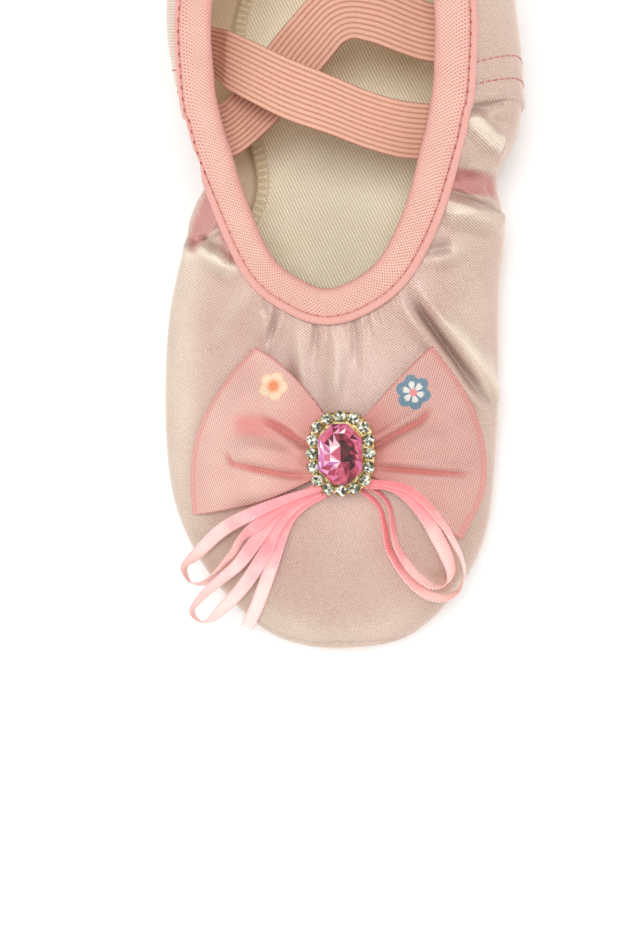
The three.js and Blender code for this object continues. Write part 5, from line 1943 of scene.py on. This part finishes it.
@dataclass
class Bow:
    """The two wings of gathered net."""

    finder: BVHTree
    thickness: float = 0.3
    lift: float = 0.9
    fold_opening: float = 1.1
    fold_round: float = 0.02
    knot_opening: float = 2.1
    puff: float = 3.0
    half_steps: int = 58
    lines: int = 76
    fold_shade: float = 1.6
    sky: float = 92.0
    steepest: float = 2.6
    ripple: float = 0.14
    ripple_turns: float = 31.0
    least_stand: float = 0.5

    def build(self) -> None:
        wings = {
            # The right wing's net is a darker copy of the left's, as painted shade
            "bow_wing_left": (WING_LEFT, FOLDS_LEFT, BLOSSOM_LEFT, 14.0, "e6bfb3", "b0716e"),
            "bow_wing_right": (WING_RIGHT, FOLDS_RIGHT, BLOSSOM_RIGHT, -16.0, "dab0a5", "a36562"),
        }
        for node, (rows, folds, blossom, weave_turn, light, deep) in wings.items():
            material = Net(node + "_net", blossom, weave_turn, light, deep).material()
            self._wing(node, np.array(rows, float), folds, material)

    def _height(self, x: Array, y: Array) -> Array:
        """Gives the vamp's height under places."""
        down = Vector((0, 0, -1))
        starts = [Vector((a, b, self.sky)) for a, b in zip(x.flat, y.flat)]
        return np.array([self.finder.ray_cast(start, down)[0].z for start in starts]).reshape(x.shape)

    def _wing(self, node: str, rows: Array, folds: Sequence[Crease], material: Material) -> None:
        """Makes one wing: out along the vamp, round its fold and back over itself to the knot.

        Args:
            node: The solid that it stands for.
            rows: Its table of fold lines.
            folds: The creases of its upper layer.
            material: The net's material.
        """
        away = 0.5 * np.linspace(1, 0, self.half_steps + 1) ** 1.5
        t = np.concatenate([0.5 - away, 0.5 + away[-2::-1]])[:, None]
        across = np.linspace(0, 1, self.lines + 1)[None, :]
        t, across = np.broadcast_arrays(t, across)
        out = 1 + self.fold_round - np.hypot(1 - 2 * t, self.fold_round)
        row = Curve(rows).at(across * (len(rows) - 1))
        x = row[..., 0] + (row[..., 2] - row[..., 0]) * out
        y = row[..., 1] + (row[..., 3] - row[..., 1]) * out + row[..., 4] * np.sin(np.pi * out)
        above = smooth_step(t, 0.47, 0.53)
        opening = self.knot_opening + (self.fold_opening - self.knot_opening) * smooth_step(out, 0, 0.35)
        puff = self.puff * np.sin(np.pi * out**1.4) * np.sin(np.pi * across)
        plan = np.stack([x, y, np.zeros_like(x)], axis=-1)
        on_top = smooth_step(t, 0.5, 0.56) * smooth_step(1 - t, 0.0, 0.08)
        creased = crease_field(plan, folds, flat=True) * on_top
        ripple = self.ripple * np.sin(across * self.ripple_turns + 3 * out) * np.sin(np.pi * out) * above
        shaded = np.clip(-creased / self.fold_shade, 0, 1)
        low = self._height(x, y)
        rise_x = self._height(x + 0.5, y) - self._height(x - 0.5, y)
        rise_y = self._height(x, y + 0.5) - self._height(x, y - 0.5)
        steep = np.minimum(np.sqrt(1 + rise_x**2 + rise_y**2), self.steepest)
        stand = np.maximum(opening + puff + creased + ripple, self.least_stand)
        z = low + steep * (self.lift + above * stand)
        sheet = np.stack([x, y, z], axis=-1)
        half = grid_normals(sheet) * self.thickness / 2
        reach = np.hypot(row[..., 2] - row[..., 0], row[..., 3] - row[..., 1])
        # Carries painted shade into the net's colour: darker in the creases' troughs and on the lower layer
        layer = smooth_step(t, 0.5, 0.52) * (1 - 0.65 * shaded)
        cloth = np.stack([np.minimum(out, 1), across, layer], axis=-1)
        piece = slab_piece(node + "_cloth", sheet + half, sheet - half, material, cloth)
        install(piece, Slot.BOW, node)


# These two tables hold painted reflection tones: light and dark facets for the light the glass throws back
# Tones of the gem's facets, two for each side of each level, from the upper right corner round by the top
GEM_TONES = (
    ((0.3, 0.3),) * 8,
    ((0.4, 0.4),) * 8,
    (
        (0.5, 0.4), (0.42, 0.5), (0.6, 0.5), (0.74, 0.8),
        (0.5, 0.62), (0.36, 0.42), (0.34, 0.3), (0.46, 0.55),
    ),
    (
        (0.3, 0.5), (0.36, 0.95), (0.52, 0.4), (0.82, 0.7),
        (0.7, 0.45), (0.3, 0.5), (0.34, 0.2), (0.5, 0.38),
    ),
    (
        (0.1, 0.34), (0.12, 0.3), (0.3, 0.92), (0.8, 0.7),
        (0.45, 0.62), (0.34, 0.55), (0.12, 0.4), (0.04, 0.16),
    ),
)
# Tones of the star under the table, with a second one where a side has two ends
GEM_STAR = ((0.12,), (0.08,), (0.94,), (0.98, 0.5), (0.9,), (0.4,), (0.3,), (0.0, 0.1))


@dataclass
class Brooch:
    """The long gem, its gilt setting and the ring of small stones."""

    threads: ThreadTree
    x: float = 2.9
    y: float = -44.5
    slope: float = 7.3
    squareness: float = 2.6
    plate_half: Span = (6.9, 8.6)
    plate_thickness: float = 0.8
    gem_half: Span = (4.65, 6.4)
    gem_cut: float = 3.0
    gem_parts: tuple[int, ...] = (2, 2, 2, 4, 2, 2, 2, 4)
    flash: float = 0.22
    girdle_z: float = 2.9
    girdle: float = 0.3
    table_z: float = 4.4
    star_share: float = 0.7
    star_z: float = 2.6
    seat_half: Span = (4.4, 6.15)
    seat_wall: float = 0.5
    seat_top: float = 2.2
    stones: int = 16
    ring_half: Span = (6.15, 7.85)
    stone_radius: float = 1.15
    stone_height: float = 1.1
    stone_spread: float = 0.12
    cup_radius: float = 1.25
    cup_top: float = 1.8
    gap: float = 0.3
    claw_size: Span = (1.3, 0.26)
    claw_lean: float = 0.45
    claw_clearance: float = 0.12
    claw_height: float = 0.42
    plate_points: int = 96
    cup_points: int = 18
    stone_sides: int = 8
    seed: int = 7

    def build(self) -> None:
        """Makes the setting, the claws, the gem and the stones."""
        gilt = Gilt().material()
        self._setting(gilt)
        self._claws(gilt)
        self._gem()
        self._stones()

    def _place(self, points: Array) -> Array:
        """Moves points from the brooch's own frame onto the slope of the vamp.

        Args:
            points: Places measured from the middle of the plate's back.

        Returns:
            The places on the shoe.
        """
        slope = math.radians(self.slope)
        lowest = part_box("brooch_setting")[0][2] / MM
        origin = np.array([self.x, self.y, lowest + self.plate_half[1] * math.sin(slope)])
        c, s = math.cos(slope), math.sin(slope)
        turned = points @ np.array([[1, 0, 0], [0, c, s], [0, -s, c]])
        return turned + origin

    def _outline(self, half: Span, turn: Array) -> Array:
        """Gives points on a rounded outline with these half sizes, at turns in radians."""
        power = 2 / self.squareness
        x = half[0] * np.sign(np.cos(turn)) * np.abs(np.cos(turn)) ** power
        y = half[1] * np.sign(np.sin(turn)) * np.abs(np.sin(turn)) ** power
        return np.stack([x, y], axis=-1)

    def _stone_places(self) -> Array:
        """Gives the places of the small stones, evenly along their ring."""
        ring = self._outline(self.ring_half, np.linspace(0, 2 * np.pi, 4001))
        lengths = path_lengths(ring)
        at = np.arange(self.stones) * lengths[-1] / self.stones
        return np.stack([np.interp(at, lengths, ring[:, k]) for k in range(2)], axis=-1)

    @staticmethod
    def _cut_rectangle(half: Span, cut: float, share: float, z: float) -> Array:
        """Gives the eight corners of a rectangle with its corners cut off, scaled and at a height."""
        x, y, c = half[0] * share, half[1] * share, cut * share
        half_loop = [(x, y - c), (x - c, y), (c - x, y), (-x, y - c)]
        return np.array([(a, b, z) for a, b in half_loop + [(-a, -b) for a, b in half_loop]])

    @staticmethod
    def _circle(middle: Array, z: float, radius: float, turns: Array) -> Array:
        """Gives points round a circle at turns in radians and at a height."""
        plan = middle + radius * np.column_stack([np.cos(turns), np.sin(turns)])
        return np.column_stack([plan, np.full(len(turns), z)])

    def _divided(self, loop: Array) -> Array:
        """Puts even points on the eight sides of a loop."""
        ahead = np.roll(loop, -1, axis=0) - loop
        sides = [loop[k] + ahead[k] * np.arange(n)[:, None] / n for k, n in enumerate(self.gem_parts)]
        return np.concatenate(sides)

    @staticmethod
    def _loft(levels: Sequence[Array], closed: bool = False) -> tuple[Array, list]:
        """Joins loops of points into a solid.

        Args:
            levels: Loops of the same number of points, anticlockwise from above, from bottom to top.
            closed: Whether the last loop joins the first, as in a ring, instead of both being capped.

        Returns:
            The points and the faces.
        """
        count = len(levels[0])
        faces = []
        for level in range(len(levels) if closed else len(levels) - 1):
            low, high = level * count, (level + 1) % len(levels) * count
            for k in range(count):
                after = (k + 1) % count
                faces.append((low + k, low + after, high + after, high + k))
        if not closed:
            faces.append(tuple(range(count - 1, -1, -1)))
            faces.append(tuple(range((len(levels) - 1) * count, len(levels) * count)))
        return np.concatenate(levels), faces

    def _setting(self, gilt: Material) -> None:
        """Makes the plate with the gem's seat and the cups of the stones.

        Args:
            gilt: Its material.
        """
        plan = self._outline(self.plate_half, np.linspace(0, 2 * np.pi, self.plate_points, endpoint=False))
        top = self.plate_thickness
        shape = ((0.97, 0), (1, 0.15), (1, top - 0.2), (0.96, top))
        plate = [np.column_stack([plan * share, np.full(len(plan), z)]) for share, z in shape]
        half, cut, top = self.seat_half, self.gem_cut, self.seat_top
        inner = (half[0] - self.seat_wall, half[1] - self.seat_wall)
        shape = ((1.0, 0.2), (1.0, top - 0.2), (0.98, top))
        seat = [self._cut_rectangle(half, cut, share, z) for share, z in shape]
        seat += [self._cut_rectangle(inner, cut - 0.3, 1.0, z) for z in (top, 0.2)]
        solids = [self._loft(plate), self._loft(seat, closed=True)]
        turns = np.linspace(0, 2 * np.pi, self.cup_points, endpoint=False)
        shape = ((0.8, 0.1), (0.88, 1.0), (1.0, self.cup_top - 0.15), (0.97, self.cup_top))
        for middle in self._stone_places():
            cup = [self._circle(middle, z, self.cup_radius * share, turns) for share, z in shape]
            solids.append(self._loft(cup))
        points, faces = [], []
        for solid_points, solid_faces in solids:
            start = sum(len(group) for group in points)
            points.append(solid_points)
            faces += [tuple(start + k for k in face) for face in solid_faces]
        piece = new_piece("gilt_setting", self._place(np.concatenate(points)), faces, gilt, smooth=False)
        install(piece, Slot.GILT, "brooch_setting")

    def _claws(self, gilt: Material) -> None:
        """Makes four claws round each small stone.

        Args:
            gilt: Their material.
        """
        middles = self._stone_places()
        outward = np.arctan2(middles[:, 1] / self.ring_half[1], middles[:, 0] / self.ring_half[0])
        angle = outward[:, None] + (np.arange(4) + 0.5) * np.pi / 2
        away = np.stack([np.cos(angle), np.sin(angle)], axis=-1)
        plan = middles[:, None] + away * (self.stone_radius + self.claw_clearance)
        high = np.full((*angle.shape, 1), self.cup_top + self.gap + self.claw_height * self.stone_height)
        points = np.concatenate([plan, high], axis=-1).reshape(-1, 3)
        lays = np.concatenate([away * -self.claw_lean, np.ones_like(high)], axis=-1).reshape(-1, 3)
        place = self._place(points)
        lays = self._place(points + lays) - place
        self.threads.sew("stone_claws", place, lays, self.claw_size, gilt, Slot.GILT)

    def _gem(self) -> None:
        """Makes the gem: a crown of facets round a deep star, which the table's glass would show."""
        half, cut = self.gem_half, self.gem_cut
        crown = self.girdle_z + self.girdle
        shape = (
            (0.9, self.girdle_z - 0.5), (1.0, self.girdle_z), (1.0, crown), (0.87, self.table_z - 0.4),
            (self.star_share, self.table_z), (0.46, self.table_z - 1.1),
        )
        levels = [self._divided(self._cut_rectangle(half, cut, share, z)) for share, z in shape]
        owners = np.repeat(np.arange(8), self.gem_parts)
        sides = len(owners)
        chance = np.random.default_rng(self.seed)
        ridge_end = half[1] - half[0]
        ridge = np.array([(0, ridge_end, self.star_z), (0, -ridge_end, self.star_z)])
        points = np.concatenate([*levels, ridge])
        tones = [0.3]
        faces = [tuple(range(sides - 1, -1, -1))]
        top = len(points) - 2
        for k, owner in enumerate(owners):
            after = (k + 1) % sides
            for level in range(len(levels) - 1):
                low, high = sides * level, sides * (level + 1)
                faces.append((low + k, low + after, high + after))
                faces.append((low + k, high + after, high + k))
                pair = GEM_TONES[level][owner]
                tones += [tone + chance.uniform(-self.flash, self.flash) for tone in pair]
            low = sides * (len(levels) - 1)
            along_side = k - int(np.argmax(owners == owner))
            upper_end = owner < 3 or (owner == 3 and along_side < 2) or (owner == 7 and along_side > 1)
            faces.append((low + k, low + after, top if upper_end else top + 1))
            tones.append(GEM_STAR[owner][0] + chance.uniform(-self.flash, self.flash) / 2)
            if owner in (3, 7) and along_side == 1:
                near, far = (top, top + 1) if owner == 3 else (top + 1, top)
                faces.append((low + after, far, near))
                tones.append(GEM_STAR[owner][-1])
        tones = np.clip(tones, 0, 1)
        # Painted reflections: dark red through pink and lilac to white glints, one tone a facet
        facet_light = PaintedFacetLight("gem_foil", (
            (0.0, "2e0d0c"), (0.2, "70212b"), (0.4, "b4425b"), (0.6, "d76f87"), (0.78, "c268b4"),
            (0.9, "f0c6cf"), (1.0, "fffaf5"),
        ), coat=0.1)
        piece = new_piece("cut_gem", self._place(points), faces, facet_light.material(), smooth=False)
        self._mark(piece, tones)
        install(piece, Slot.GEM, "gem")

    @staticmethod
    def _mark(piece: Piece, tones: Sequence[float]) -> None:
        """Writes each face's painted reflection tone."""
        layer = piece.data.attributes.new(FACET, "FLOAT", "FACE")
        layer.data.foreach_set("value", list(tones))

    def _stones(self) -> None:
        """Makes the ring of small round stones, each with its own fall of light."""
        chance = np.random.default_rng(self.seed)
        # Painted reflections: grey-green facets from near black to white glints
        facet_light = PaintedFacetLight("stone_foil", (
            (0.0, "191b12"), (0.3, "50543f"), (0.55, "969a80"), (0.8, "dcdfcb"), (1.0, "ffffff"),
        )).material()
        sides = self.stone_sides
        wide = self.stone_radius + self.stone_spread
        low = self.cup_top + self.gap
        for number, middle in enumerate(self._stone_places(), 1):
            turn = np.linspace(0, 2 * np.pi, sides, endpoint=False) + chance.uniform(0, 1)
            half_turn = turn + math.pi / sides
            shape = ((0.8, 0.0, turn), (1.0, 0.45, turn), (0.58, 0.97, half_turn), (0.0, 1.0, turn[:1]))
            loops = [self._circle(middle, low + z * self.stone_height, r * wide, at) for r, z, at in shape]
            points = np.concatenate(loops)
            faces = [tuple(range(sides - 1, -1, -1))]
            for k in range(sides):
                after = (k + 1) % sides
                faces.append((k, after, sides + after, sides + k))
                faces.append((sides + k, sides + after, 2 * sides + k))
                faces.append((sides + after, 2 * sides + after, 2 * sides + k))
                faces.append((2 * sides + k, 2 * sides + after, 3 * sides))
            tones = chance.beta(0.75, 0.6, len(faces))
            node = f"rhinestone_{number:02d}"
            piece = new_piece(node + "_cut", self._place(points), faces, facet_light, smooth=False)
            self._mark(piece, tones)
            install(piece, Slot.STONE, node)


def main() -> None:
    """Builds the studio and the shoe, piece by piece."""
    logging.basicConfig(level=logging.INFO, format="%(name)s %(message)s")
    studio = Studio()
    studio.camera()
    Ribbons().build()
    last = Last()
    threads = ThreadTree()
    upper = Upper(last, threads)
    upper.build()
    Collar(last, threads).build()
    FootBed(last, threads).build()
    Straps().build()
    Bow(upper.height_finder()).build()
    Brooch(threads).build()
    studio.lights()
    studio.floor()


if __name__ == "__main__":
    main()
